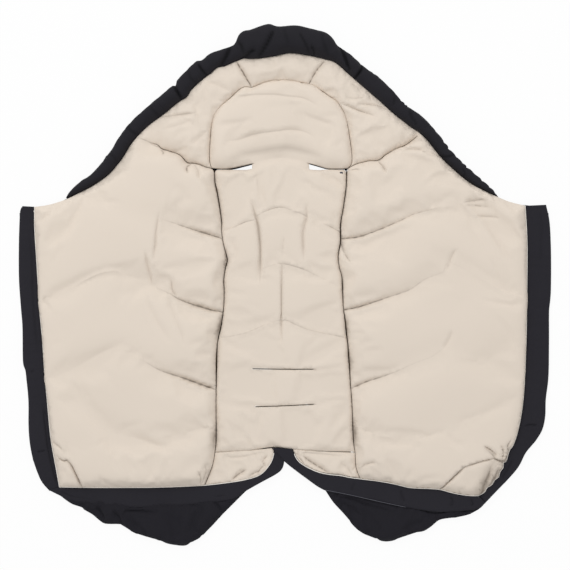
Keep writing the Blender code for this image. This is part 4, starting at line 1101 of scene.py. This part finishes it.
seat_seams = [seam("226,230 236,226.5 245,222.5 253,220.5", 0.3, 0.6, 0.8, 0.6),
              seam("257,216 269,210.5 281,208 294,212 306,217", 0.5, 0.6, 0.7, 0.4, 0.6),
              seam("324,224.5 332,228 339.5,232", 0.4, 0.8, 0.9),
              seam("262,270 272,266 283,264.5 298,268 311,273 341,288", 0.3, 0.45, 0.5, 0.45, 0.3, 0.3),
              seam("221,338 244.5,333 264,325 282,319.5 297,325 311,330 346,338",
                   0.4, 0.5, 0.45, 0.55, 0.5, 0.5)]
seat_folds = creases("""
    26  16 282,264 281.5,290 281.5,312 282,340
    46  24 250,200 255,213 258.5,228 260.5,250 260,285
    36  30 306,206 305.5,219 303,234 303.5,262
    12  18 284,236 283,248 282,260
    12  30 257,176 259,188 266,201
     7  50 232,166 240,176 243,196
    12  30 322,177 334,179 342,185
     6  60 224,344 240,348 262,349
     8  50 226,236 234,248 236,262""")
seat_shades = [shadow("254.5,214 258.5,228 260.5,252", 0.0016, 0.2, 0.5, 0.15),
               shadow("282,266 281.6,290 281.8,316", 0.0010, 0.3, 0.4, 0.3)]
seat_slots = [slot_hole("253,368.5 283,369 313,369", SLOT_HALF),
              slot_hole("256,406.4 285,405.4 313.6,404", SLOT_HALF)]
seat_panel = quilt("seat_panel", [seat_loop] + seat_slots, seat_seams, seat_folds, 0.0125, seed=41,
                   cap=0.0015, edge=0.0072, roll_in=0.004, dark=0.45, flush=[SEAT_JOIN], shades=seat_shades)
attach(seat_panel, "back")
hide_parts("seat_lining", "seat_wadding")

# %% [markdown]
# ## Foot linings
# Two small panels close the lining under the seat panel, down to the foot bands. They could be part
# of the wings, but a seam parts them, and they don't fold with the flaps.

# %% Foot lining pieces
foot_shapes = {
    "left": (joined(line(foot_seam_left), line(foot_edge_left), line("274,447.5 250,449.6 215,452")),
             creases("""
    42  22 231,480 238,473.5 247,467.5
    18  26 222,456 240,456 264,451
    26  18 266,467 263,460 268,454
    26  18 248,477 254,472 260,470
    24  16 257,474 259,469 264,464""")),
    "right": (joined(line(foot_edge_right), line(foot_seam_right)[::-1], line("355,452 325,451 292.5,448.4")),
              creases("""
    44  22 300,453.5 313,462 331,473.5
    22  16 297,451 299,457 305,463
    16  24 300,452 322,453.5 345,455
    16  24 340,462 348,468 352,477
    14  20 352,470 356,464 357,458""")),
}
for key, (loop, folds) in foot_shapes.items():
    piece = quilt(key + "_foot_pad", [loop], [], folds, 0.0108, seed=52, spacing=0.004, cap=0.002,
                  edge=0.0078, roll_in=0.004)
    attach(piece, "back")
    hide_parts(key + "_foot_lining")

# %% [markdown]
# ## Swept pieces
# Bands, tapes, piping and the gathered edge are all one thing: a closed section carried along two
# lines. A bevelled curve does this for a round section, but here the width changes from place to
# place. So `loft` joins the sections itself and closes both ends. A noise that depends only on the
# place along the line makes neighbouring pieces meet with the same shape.

# %% Lofts


def loft(name, rings, material, crease_shade=None):
    """Closed surface through rings of points, (ring, point, xyz)."""
    rings = np.asarray(rings, float)
    steps, count = rings.shape[:2]
    faces = []
    for first in range(0, (steps - 1) * count, count):
        for k in range(count):
            n = (k + 1) % count
            faces.append((first + k, first + n, first + count + n, first + count + k))
    faces.append(tuple(range(count))[::-1])
    faces.append(tuple(range((steps - 1) * count, steps * count)))
    spots = rings.reshape(-1, 3)
    a, b, c = spots[faces[0][0]], spots[faces[0][1]], spots[faces[0][3]]
    outward = a - rings[0].mean(axis=0)
    if np.dot(np.cross(b - a, c - a), outward) < 0:
        faces = [face[::-1] for face in faces]
    return put(name, spots, faces, material, np.zeros(len(spots)) if crease_shade is None else crease_shade)


def tube(name, path, heights, radius, material, points=8):
    """A thread or piping along a line."""
    side = sideways(path)
    heights = np.broadcast_to(heights, len(path))
    turns = np.arange(points) * math.tau / points
    rings = [[(*(p + n * radius * math.cos(t)), z + radius * math.sin(t)) for t in turns]
             for p, n, z in zip(path, side, heights)]
    return loft(name, rings, material)


# %% Ribbons
RIBBON_STEP = 0.0016
FULL_CREASE = 0.0042


def ribbon(name, inner, outer, section, material, lift=0.0, seed=1, wave=0.0006, folds=()):
    """A flat band of cloth between two lines. section is a closed ring of (share across, height). Its
    folds get painted shade, full where a fold is as deep as FULL_CREASE."""
    count = max(8, round(length_of(inner) / RIBBON_STEP))
    a, b = resampled(inner, count), resampled(outer, count)
    shares, heights = np.array(section).T
    flat = (a[:, None] + (b - a)[:, None] * shares[None, :, None]).reshape(-1, 2)
    sway = (drift(a, 0.06, seed)[:, None] * shares + drift(a, 0.02, seed + 1)[:, None] * 0.35) * wave
    height = (heights + lift + np.maximum(-0.0005, sway)).ravel()
    crease_shade = np.zeros(len(flat))
    upper = np.tile(heights > np.median(heights), count)
    for path, depth, width, _ in folds:
        gap, share = nearest(flat, path)
        ends = fading(share, 6, 0.2) * upper
        height -= depth * bell(gap, width) * ends
        # Painted shade along the bottom of each fold.
        crease_shade = np.maximum(crease_shade, min(1, depth / FULL_CREASE) * bell(gap, width) * ends)
    return loft(name, np.column_stack((flat, height)).reshape(count, len(section), 3), material, crease_shade)


print("a ribbon has a ring of points every", RIBBON_STEP * 1000, "mm")

# %% [markdown]
# ## Facings of the harness slits
# A strip of the lining is folded under each slit. It is painted all over in the lining's shade colour,
# so what shows in the gap is painted brown shade. The slit could be left open to the floor, but white
# would show where the photograph is dark.

# %% Slit strips
STRIP_SECTION = ((0.0, 0.0036), (1.0, 0.0036), (1.0, 0.0041), (0.0, 0.0041))
STRIP_HALF = 0.0016
for key, text in (("left", slit_left), ("right", slit_right)):
    path = line(text)[1:]
    half = sideways(path) * STRIP_HALF
    strip = ribbon(key + "_slit_strip", path + half, path - half, STRIP_SECTION, lining_cloth, wave=0.0)
    # The whole strip takes the painted shade colour.
    for mark in strip.data.attributes["crease_shade"].data:
        mark.value = 1
    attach(strip, "back")
    print(key, "slit strip", round(length_of(path), 3), "m")

# %% [markdown]
# ## Gathered edge of the hood
# An elastic cord runs in a casing of the black cloth, so the cloth is half as long again as the
# edge it sits on, and ripples. The casing is a soft tube: sewn down along the lining, highest in its
# middle, and pushed into fat swellings between the places where the gathers have bunched. A cloth
# simulation would gather it by chance. Here the outer line is measured, because those swellings
# make the outline of the hood.

# %% Inner and outer line of the casing
roll_outer = ("66,198 69,193 74,188 82,181 90,176 98,168 104,161 106,157.5 112,150.5 117,141.5 125,130 "
              "130,124 138,116 146,109 154,102 162,95.5 172,87 176,86.5 177.5,81 186,72 196,62.5 202,61 "
              "210,54.5 221,50.5 230,47.5 235,44.5 239,36 244,32 250,31 258,28 269,25 278,27.5 296,26.5 "
              "310,29.5 322,32.5 328,35 333,40 337,46 344,51 350,55 354,58.5 362,66 370,72 378,77.5 386,85 "
              "394,93 402,102.5 410,109 418,114 426,121 434,130 442,140 450,151 458,159 466,167 474,174 "
              "482,181 490,188 500,199.5")
ROLL_STEPS = 560
SMOOTHING = 25


def opposite(inner, outer):
    """The place on the outer line that lies opposite each point of the inner one, without jumps."""
    share = np.maximum.accumulate(nearest(inner, outer)[1])
    share = np.convolve(np.pad(share, SMOOTHING // 2, "edge"), np.ones(SMOOTHING) / SMOOTHING, "valid")
    share = (share - share[0]) / np.ptp(share)
    outer_marks = length_marks(outer) / length_marks(outer)[-1]
    return np.column_stack([np.interp(share, outer_marks, column) for column in outer.T])


rims = [fine_line(text) for text in (rim_left, rim_high_left, crown_rim, rim_high_right, rim_right)]
inner_edge = resampled(np.vstack([rim[:-1] for rim in rims[:-1]] + rims[-1:]), ROLL_STEPS + 1)
outer_edge = opposite(inner_edge, fine_line(roll_outer))
across = outer_edge - inner_edge
width = np.linalg.norm(across, axis=1)[:, None]
way = across / np.maximum(width, 1e-9)
print("the casing is", round(float(width.min()) * 1000), "to", round(float(width.max()) * 1000), "mm wide")

# %% Pleats along the casing
PLEATS = 150
NARROWEST, WIDEST = 0.006, 0.020
PLEAT_STRENGTHS = 70
END_TAPER = 0.02

marks = length_marks(inner_edge)
taper = np.clip(np.minimum(marks, marks[-1] - marks) / END_TAPER, 0, 1)[:, None]
dice = np.random.default_rng(5)
pleats = np.interp(marks, np.cumsum(dice.uniform(NARROWEST, WIDEST, PLEATS)), np.arange(PLEATS) * math.pi)
pleats = (1.8 * np.abs(np.sin(pleats)) ** 0.7 - 1.0)[:, None]
places = np.linspace(0, marks[-1], PLEAT_STRENGTHS)
pleats = pleats * np.interp(marks, places, dice.uniform(0.0, 1, PLEAT_STRENGTHS))[:, None]
tight_gathers = along(marks[:, None] / marks[-1], (0.3, 0.3, 0.3, 0.2, 0.1, 0.2, 0.4, 1.0, 1.0, 1.0))
print("pleats for", round(float(marks[-1]), 3), "m of edge")

# %% Section of the casing
SECTION_STEPS = 30
ROLL_TOP = 0.0285
ROLL_END = 0.004
SEAM_LEVEL = 0.0075
PLEAT_OUT, PLEAT_IN, PLEAT_UP = 0.0017, 0.0004, 0.0007
FULL_DIP = 0.004
LOWEST = 0.0003

turns = np.linspace(0, math.tau, SECTION_STEPS, endpoint=False)[None, :]
share = 0.5 - 0.5 * np.cos(turns) + 0.03 * np.sin(2 * turns)
rise = np.sin(turns)
at_seam, at_rim = np.clip(np.cos(turns), 0, 1) ** 4, np.clip(-np.cos(turns), 0, 1) ** 2
high = ROLL_END + (np.minimum(ROLL_TOP, 0.010 + width * 0.46) - ROLL_END) * taper
height = np.where(rise > 0, high * (0.5 + 0.5 * np.abs(rise) ** 0.8), 0.5 * high * (1 + 0.96 * rise))
height = height * (1 - 0.4 * at_seam) + 0.4 * at_seam * SEAM_LEVEL
out = (PLEAT_OUT * at_rim * tight_gathers - PLEAT_IN * at_seam) * pleats * taper
flat = inner_edge[:, None] + across[:, None] * share[..., None] + way[:, None] * out[..., None]
flat = flat.reshape(-1, 2)
swell = drift(flat, 0.06, 77) * 0.0010 + drift(flat, 0.022, 78) * 0.0004
crest = np.clip(np.broadcast_to(rise, height.shape), 0, 1).ravel() ** 0.5
bumps = (PLEAT_UP * pleats * (0.6 * at_seam + 0.2 + 1.2 * at_rim * tight_gathers) * taper).ravel()
height = height.ravel() + crest * (swell + bumps)
shade = np.clip(0.4 * (-pleats) * at_rim * tight_gathers, 0, 1).ravel()
print("the casing is at most", round(float(height.max()) * 1000, 1), "mm high")

# %% Deep folds across the casing
roll_folds = creases("""
    62  28 174,83 177,91 182,100
    36  26 199,66 203,72 210,79
    50  40 230,49 227,57 221,67
    30  34 236,41 241,46 243,52
    58  32 254,51 248,56 241,61
    46  34 273,34 267,46 259,58
    24  28 300,36 306,47 310,56
    36  20 311,48 314,53 313,59
    64  30 337,44 343,55 349,70
    58  26 355,58 361.5,69 353,81
    18  30 391,91 394,98 393,105
    20  34 409,107 410,116 415,124
    24  20 440,157 448,157.5 456,154
    18  20 462,170 464,174 462,180
    18  34 128,126 132,132 139,136
    14  34 149,105 154,112 160,117
    14  26 110,154 115,158 118,164
    16  36 188,71 192,80 199,86
    12  40 286,26 285,34 288,44
    14  40 322,34 323,44 328,56""")
for path, depth, reach, _ in roll_folds:
    gap, place = nearest(flat, path)
    height -= depth * (bell(gap, reach) * fading(place, 8, 0.3) * crest)
    shade = np.maximum(shade, min(1, depth / FULL_DIP) * bell(gap / reach, 0.7) * crest)
rings = np.column_stack((flat, np.maximum(height, LOWEST))).reshape(ROLL_STEPS + 1, SECTION_STEPS, 3)
shades = shade.reshape(ROLL_STEPS + 1, SECTION_STEPS)
print(len(roll_folds), "deep folds")

# %% Three pieces of the casing
CLEAR_OF_FOLD = 0.003
beside_fold = np.abs(np.abs(outer_edge[:, 0]) - FOLD_START + CLEAR_OF_FOLD)
left_end = int(np.argmin(beside_fold[:ROLL_STEPS // 2]))
right_end = ROLL_STEPS // 2 + int(np.argmin(beside_fold[ROLL_STEPS // 2:]))
for key, first, last in (("left", 0, left_end), ("hood", left_end, right_end),
                         ("right", right_end, ROLL_STEPS)):
    piece = loft(key + "_gathered_edge", rings[first:last + 1], gathered_cloth, shades[first:last + 1])
    if key == "hood":
        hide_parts("hood_roll_casing", "hood_roll_elastic")
        bend_with_hood(piece)
    else:
        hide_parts(key + "_roll_casing", key + "_roll_elastic", key + "_shoulder_roll_casing",
                    key + "_shoulder_roll_elastic")
        bend_with_flap(piece, key)
print("the pieces meet at", outer_edge[left_end], outer_edge[right_end])

# %% [markdown]
# ## Facings and foot bands
# Behind each half of the zip lies a facing, a strip of black cloth folded double. It follows the
# edge of the flap, and a second strip follows the foot end to the middle. A flat plane would look
# like paper. Folded cloth is a flat closed loop in section, with a soft lip at its outer edge.

# %% Lines of the facings and bands
BAND_TOP = np.linspace(0.0, 1.0, 26)
BAND_RISE = np.interp(BAND_TOP, (0, 0.04, 0.09, 0.88, 0.96, 1),
                      (0.0074, 0.0087, 0.0091, 0.0090, 0.0082, 0.0068))
BAND_BELOW = [(0.97, 0.0062), (0.86, 0.0073), (0.5, 0.0074), (0.10, 0.0074)]
BAND_SECTION = list(zip(BAND_TOP, BAND_RISE)) + BAND_BELOW
facing_outer = {
    "left": "23,206.3 20.9,210 20.2,217 19.5,238 19.2,262 19.8,285 21.4,308 23,328 23.4,361 25.8,370 "
            "27,380 28.3,392 29,405 29,425 30,440 32.3,454 36,467 42,481 50,490.5",
    "right": "545.5,205 549,222 550.5,250 550.5,286 549.8,300 548.6,312 548.6,340 548,376 545.4,399 "
             "544.8,416 542,429 536,439.5 531,445.5 525,453 518,466.5 508,478.5 496.5,490.5 485,502.5"}
band_inner = {"left": np.vstack((line(foot_rim_left)[:-1], line(foot_edge_left))),
              "right": np.vstack((line(foot_rim_right)[::-1][:-1], line(foot_edge_right)[::-1]))}
band_outer = {
    "left": "49,489.5 61,495.5 74,501.5 110,506 155,507 205,503 231,499.5 247,490 262,481.5 275,474.5 "
            "281.5,469.5 284,463 284.5,455 283,447.5",
    "right": "485,502.5 478,507.5 470,509.5 440,511.5 415,508.5 385,503 350,495 325,490 305,477 "
             "286,462.5 278,454 271.5,447.5"}
seam_of = {"left": line(facing_seam_left), "right": line(facing_seam_right)}
outer_of = {key: line(text) for key, text in facing_outer.items()}
for key in SIDES:
    print(key, "facing and band:", [round(length_of(path[key]), 3) for path in (seam_of, band_inner)], "m")

# %% Facings and bands
BAND_LIFT = {"left": 0.0004, "right": 0.0022}

strip_folds = {"left": creases("""
    28  26 44,405 47,425 50,448 54.5,468 58.5,486
    18  14 31,450.5 38,451.5 47,450
    12  18 24,369 29,371 35,371
     8  22 30,232 33,262 34,300 38,352"""),
               "right": creases("""
    18  14 523,425.5 531,424.5 541,426
    16  14 545,311 549,312 552,311
    10  20 500,480 506,470 512,458
     5  26 540,207 541,230 540,262""")}
band_folds = {"left": creases("""
    16  18 84,500 100,504 112,503
    14  14 212,498 222,496 232,497
    10  20 60,491 74,497 92,500"""),
              "right": creases("""
    10  20 400,488 402,496 406,505
     8  22 355,481 352,488 352,494
    12  18 450,495 452,502 448,508
    14  16 470,498 472,503 470,507""")}

for key, sign in SIDES.items():
    facing = ribbon(key + "_zip_facing", seam_of[key], outer_of[key], BAND_SECTION, facing_cloth,
                    seed=60 + sign, folds=strip_folds[key])
    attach(facing, key + "_flap")
    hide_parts(key + "_facing")
    key + "_wing"
    band = ribbon(key + "_foot_band", band_inner[key], line(band_outer[key]), BAND_SECTION, facing_cloth,
                  lift=BAND_LIFT[key], seed=64 + sign, folds=band_folds[key])
    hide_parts(key + "_foot_facing")
    key + "_wing"
    bend_with_flap(band, key)
    print(key, "facing and band:", len(facing.data.vertices), "and", len(band.data.vertices), "points")

# %% [markdown]
# ## Collapsed foot ends
# The outer cloth goes on past the foot band as a pocket for the feet. Open and empty, it falls flat
# in two lobes with a few pleats. Dropping a simulated bag would put the pleats anywhere, so each lobe
# is a slack pad of the black cloth with little filling, and its pleats are measured.

# %% Foot lobes
lobe_lines = {
    "left": "49,488.5 59,494.5 67,500.5 73,504.2 82,507.2 84.5,509.6 92.5,514.2 97,518 103,522.6 108,523.8 "
            "120,524 123,525.5 128,528.6 134,532.2 145,536 160,540.3 168,543 184,545 192,541.5 200,537 "
            "211,527 222,515 231,506 239.5,497.5 247,490",
    "right": "325,490 333,502 344,514 354,525.5 362,531.5 370,535.3 382,540.2 392,540.2 400,537.6 416,532.3 "
             "424,530.5 432,525.5 440,519.5 456,517 470,513.5 480,508 486,501.5"}
lobe_tops = {"left": "247,490 231,496 205,498 155,500.5 110,499.5 75,494.5 60,490 49,488.5",
             "right": "486,501.5 470,506 440,507.5 415,503.5 385,498 350,490.5 338,488 325,490"}
lobe_folds = {
    "left": creases("""
    34  24 96,506 102,512 106,521
    34  22 112,509 120,517 124,527
    22  22 124,511 138,510 158,511
    22  40 128,518 140,526 150,538
    18  24 80,503 90,508 104,510
    20  60 205,506 196,518 190,534
    16  60 160,512 172,520 180,538
    20  24 212,500 218,505 222,512"""),
    "right": creases("""
    26  22 333,495 352,499 372,505 392,510
    22  30 338,500 350,506 362,514
    18  60 352,505 372,518 384,536
    18  50 440,513 422,520 400,529
    26  18 418,508 432,512 452,511
    26  18 452,514 464,511 478,507"""),
}
for key, sign in SIDES.items():
    loop = joined(line(lobe_lines[key]), line(lobe_tops[key]))
    lobe = quilt(key + "_foot_lobe", [loop], [], lobe_folds[key], 0.0135, black_cloth, spacing=0.004,
                 pressure=0.8, growth=0.06, cap=0.004, low=0.0004, edge=0.0045, roll_in=0.009, seed=70 + sign)
    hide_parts(key + "_foot_shell_inner", key + "_foot_shell_outer")
    bend_with_flap(lobe, key)

# %% [markdown]
# ## Outer cloth
# The back of the footmuff is what one sees when it is closed. The cloth lies on the floor with slow
# ripples, under the quilting. A flat copy of the lining's underside would do from above, but not
# when a flap is folded. So it is a sheet about two millimetres thick with its foam backing. At the
# flaps it is cut a little wider than the lining, where its edge carries the zip. At the hood it runs
# on under the gathered edge, and at the slits it stays back, so that they are free.

# %% A sheet of outer cloth
SHELL_THICK = 0.0017
SHELL_SPACING = 0.008
RIPPLE_START = 0.02
HIGHEST_RIPPLE = 0.0014
OVER_FLOOR = 0.0001


def shell_sheet(name, outline, seed, ripple=0.0007):
    """A thin closed sheet just over the floor, with slow ripples between its edges and fold lines."""
    flat, faces = triangles([outline], [], SHELL_SPACING, 0, BEND_ROWS)
    gap = nearest(flat, closed_path(outline))[0]
    for path in FOLD_LINES:
        gap = np.minimum(gap, np.maximum(nearest(flat, path)[0] - HALF_FOLD, 0))
    rise = (drift(flat, 0.09, seed) + 1.2) * ripple * np.clip(gap / RIPPLE_START, 0, 1)
    low = np.column_stack((flat, np.clip(rise, 0, HIGHEST_RIPPLE) + OVER_FLOOR))
    high = low + (0, 0, SHELL_THICK)
    count = len(flat)
    walls = [(b + count, a + count, a, b) for ring in border_loops(faces)
             for a, b in zip(ring, ring[1:] + ring[:1])]
    every = [tuple(f[::-1]) for f in faces] + [tuple(f + count) for f in faces] + walls
    thing = put(name, np.vstack((low, high)), every, black_cloth, np.zeros(2 * count))
    return thing


def between(a, b, share):
    """A line part of the way from one line to another."""
    first, second = resampled(a, 60), resampled(b, 60)
    return first + (second - first) * share


# %% Edges of the outer cloth
UNDER_SLIT = 0.0018
UNDER_SEAM = 0.0016
UNDER_ROLL = 0.007
SHELL_EASE = 0.0005


def beside_slit(slit, foot_seam, turn):
    """The edge of the outer cloth, set back from a harness slit and the seam below it."""
    path = np.vstack((line(slit)[:-1], line(foot_seam)))
    return path + sideways(path) * (turn * UNDER_SLIT)


shell_out = {"left": between(seam_of["left"], outer_of["left"], 0.42),
             "right": between(seam_of["right"], outer_of["right"], 0.60)}
wing_foot = {"left": line("60,490 64,493.5 90,495.5 125,496 155,496 180,495 203,492.5"),
             "right": line("364,487 380,489.5 410,495 440,498.5 460,501 476,501")}
under_left = beside_slit(slit_left, foot_seam_left, 1)
under_right = beside_slit(slit_right, foot_seam_right, -1)
neck_edge_left, neck_edge_right = line(neck_left) - (0, UNDER_SEAM), line(neck_right) - (0, UNDER_SEAM)
under_roll = inner_edge + way * np.minimum(UNDER_ROLL, 0.45 * width)
left_corner = int(np.argmin(nearest(inner_edge, line("152.3,123.3 152.3,124"))[0]))
right_corner = int(np.argmin(nearest(inner_edge, line("416.8,131.5 416.8,132"))[0]))
print("the outer cloth's corners are points", left_corner, "and", right_corner, "of the gathered edge")

# %% Outer cloth of the wings and the hood
left_shell = np.vstack((neck_edge_left[::-1], under_roll[4:left_corner + 1][::-1],
                        line("60,202 48,205 31,207"), shell_out["left"][1:-3], wing_foot["left"][2:],
                        under_left[::-1][:-2]))
right_shell = np.vstack((neck_edge_right[:-1], under_right[2:], wing_foot["right"][:-2],
                         shell_out["right"][::-1][3:], line("536,206 509,203 500,200"),
                         under_roll[right_corner:-4][::-1]))
for key, loop in (("left", left_shell), ("right", right_shell)):
    piece = shell_sheet(key + "_outer_cloth", inset(loop, SHELL_EASE), 80 + SIDES[key])
    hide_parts(key + "_side_shell", key + "_flap_shell")
    bend_with_flap(piece, key)

hood_outline = np.vstack((neck_edge_left[:-1],
                          line("213.9,172.2 216.3,171.9 218,169.8 232,170 243,167.6 252,165.2"),
                          line(seat_join)[1:-1],
                          line("309,164.6 318,167.2 328,169.8 340,169.8 344.6,170 346.3,171.8"),
                          neck_edge_right[::-1], under_roll[left_corner:right_corner + 1][::-1]))
hood_cloth = shell_sheet("hood_outer_cloth", inset(hood_outline, SHELL_EASE), 90)
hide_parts("head_shell", "hood_shell")
bend_with_hood(hood_cloth)

# %% Outer cloth of the seat and the foot
seat_back = shell_sheet("seat_back_cloth", inset(seat_loop, SHELL_EASE), 91, ripple=0.0004)
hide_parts("seat_backing")
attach(seat_back, "back")
foot_base_loop = joined(line("216.8,451.7 250,449.8 272,446.8 294,448.8 325,450.8 350.5,451.2"),
                        line("350.5,451.2 353.5,467 358,482"),
                        line("358,484 340,482 320,479 303,473 292,465 284.5,456"),
                        line("284.5,456 276,464 268,475 258,481 245,486 225,489 208,491"),
                        line("208,491 214.6,467 216.8,451.8"))
foot_base = shell_sheet("foot_base_cloth", foot_base_loop, 92)
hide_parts("foot_base_shell")
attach(foot_base, "back")

# %% [markdown]
# ## Zip
# The zip lies under the facings, so from above it is hidden, and from below it runs round both
# flaps. The tape is a thin woven strip. The coil is made tooth by tooth, since a plain bar would
# look like a cord. The slider and its pull are the frame's own parts with a metal finish.

# %% Nylon and metal
coil_nylon = cloth("coil_nylon", (30, 30, 32), (14, 14, 15), (52, 52, 55),
                   pitch=0.0006, roughness=0.45, sheen=0.0, relief=0.1)
metal = Finish(bpy.data.materials.new("dark_zinc"))
spot = metal.node("ShaderNodeTexCoord", out="Object")
scuffs = noise(metal, spot, 700.0)
metal.shade(Base_Color=metal.blend(scuffs, linear(88, 88, 92), linear(132, 132, 136)), Metallic=1.0,
            Roughness=scuffs * 0.2 + 0.28)
zinc_parts = ["zip_slider", "zip_pull", "zip_bottom_stop", "left_zip_top_stop", "right_zip_top_stop"]
for name in zinc_parts:
    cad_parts[name].data.materials.clear()
    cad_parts[name].data.materials.append(metal.owner)
print("in metal:", zinc_parts)

# %% Teeth
TOOTH_PITCH = 0.0021
TOOTH_LEVELS = ((0.0042, 0.0016, 0.00055), (0.0049, 0.0018, 0.0007), (0.0056, 0.0015, 0.0005))


def teeth(name, path, material):
    """Small rounded bars across a line, all one mesh. A level has a height, half a length and half a
    thickness."""
    path = even(path, TOOTH_PITCH)
    side, way = sideways(path), sideways(path)[:, ::-1] * (1, -1)
    spots, faces = [], []
    for middle, across_way, along_way in zip(path, side, way):
        first = len(spots)
        for z, half, thick in TOOTH_LEVELS:
            for a, b in ((-1, -1), (1, -1), (1, 1), (-1, 1)):
                spots.append((*(middle + across_way * half * a + along_way * thick * b), z))
        for low in (first, first + 4):
            for k in range(4):
                n = (k + 1) % 4
                faces.append((low + k, low + n, low + 4 + n, low + 4 + k))
        faces += [(first + 3, first + 2, first + 1, first), (first + 8, first + 9, first + 10, first + 11)]
    return put(name, spots, faces, material)


print("teeth on a metre of zip:", round(1 / TOOTH_PITCH))

# %% Tapes and teeth
TAPE_SECTION = ((0.0, 0.0034), (1.0, 0.0034), (1.0, 0.0039), (0.0, 0.0039))
TAPE_IN, TAPE_OUT = 0.011, 0.002
CORNER_TOP = -0.21
CORNER_INSET = 0.004

zip_straight = {"left": [(-0.40838, 0.110867), (-0.391337, -0.187133)],
                "right": [(0.40672, 0.110867), (0.39843, -0.187133)]}
zip_foot = {"left": "75,498 110,502 155,503 205,500 231,496.5 247,487.5 262,479.5 274,472",
            "right": "470,506 440,508.5 415,505.5 385,500 350,492 325,487 306,475.5 293,466"}
for key, sign in SIDES.items():
    low = outer_of[key][outer_of[key][:, 1] < CORNER_TOP][::6]
    corner = low - sign * sideways(low) * CORNER_INSET
    straight = even(np.array(zip_straight[key]), 0.03)
    whole = through(np.vstack((straight, corner[:-1], read_off(zip_foot[key]))), 0.003)
    inward = sideways(whole) * (-sign if sideways(whole)[5, 0] > 0 else sign)
    tape = ribbon(key + "_tape", whole + inward * TAPE_IN, whole - inward * TAPE_OUT, TAPE_SECTION,
                  facing_cloth, wave=0.0)
    key + "_outer_cloth"
    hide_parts(key + "_zip_tape", key + "_foot_zip_tape")
    row = teeth(key + "_teeth", whole[2:], coil_nylon)
    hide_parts(key + "_zip_coil", key + "_foot_zip_coil")
    for piece in (tape, row):
        bend_with_flap(piece, key)
    print(key, "zip", round(length_of(whole), 3), "m")

# %% [markdown]
# ## Seam edges and tacks
# Where the lining is sewn to the black cloth a pale edge of the lining peeps out. It is one thread
# wide, and it draws the clean line between the two colours. A stripe in the material could do that,
# but a thin tube stands up and catches the light, as the real edge does. Bar tacks hold the ends.

# %% Pale seam edges
FACE_TOP = 0.0093
RIM_TOP = 0.0088
PIPING = 0.0006
THREAD = 0.00045
top_lines = {"left": "69,199 60,202.3 48,205.6 36,207.3", "right": "525,206.3 509,202.3 498,198"}
for key in SIDES:
    edge = tube(key + "_facing_piping", seam_of[key], FACE_TOP, PIPING, thread)
    top = tube(key + "_top_piping", line(top_lines[key]), RIM_TOP, PIPING, thread)
    for piece in (edge, top):
        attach(piece, key + "_flap")
    foot_edge = tube(key + "_foot_piping", band_inner[key][:-2], FACE_TOP + BAND_LIFT[key], PIPING, thread)
    bend_with_flap(foot_edge, key)
foot_thread = tube("right_foot_thread", line("325,489.3 350,494.3 385,502.2 405,506.4"),
                   RIM_TOP + BAND_LIFT["right"], THREAD, grey_thread)
bend_with_flap(foot_thread, "right")
print("piping", PIPING * 2000, "mm thick")

# %% Tacks
STITCH_GAP = 0.0007
STITCH = 0.0005


def tack(name, text, height, body, material):
    """Bar tack of three short threads laid close together."""
    path = line(text, 0.001)
    for k in range(3):
        bar = tube(f"{name}_{k}", path + sideways(path) * STITCH_GAP * (k - 1), height, STITCH, material, 6)
        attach(bar, body)
    print(name, round(length_of(path) * 1000, 1), "mm long")


tack("left_top_tack", "34.5,211.8 36,211.2 38,210.6", 0.0098, "left_flap", thread)
tack("slot_tack", "339.8,173.2 341.2,173 342.6,173.6", 0.0110, "back", grey_thread)

# %% Bound crotch slots
BINDING_TOP = 0.0114
BINDING_HALF = 0.0013
BINDING = 0.0004
for name, text in (("upper", "252,368.5 283,369 314,369"), ("lower", "255,406.4 285,405.4 314.6,404")):
    rim = slot_hole(text, BINDING_HALF)
    binding = tube(name + "_slot_binding", closed_path(rim), BINDING_TOP, BINDING, thread, 6)
    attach(binding, "back")
    print(name, "slot binding", round(length_of(rim), 3), "m")
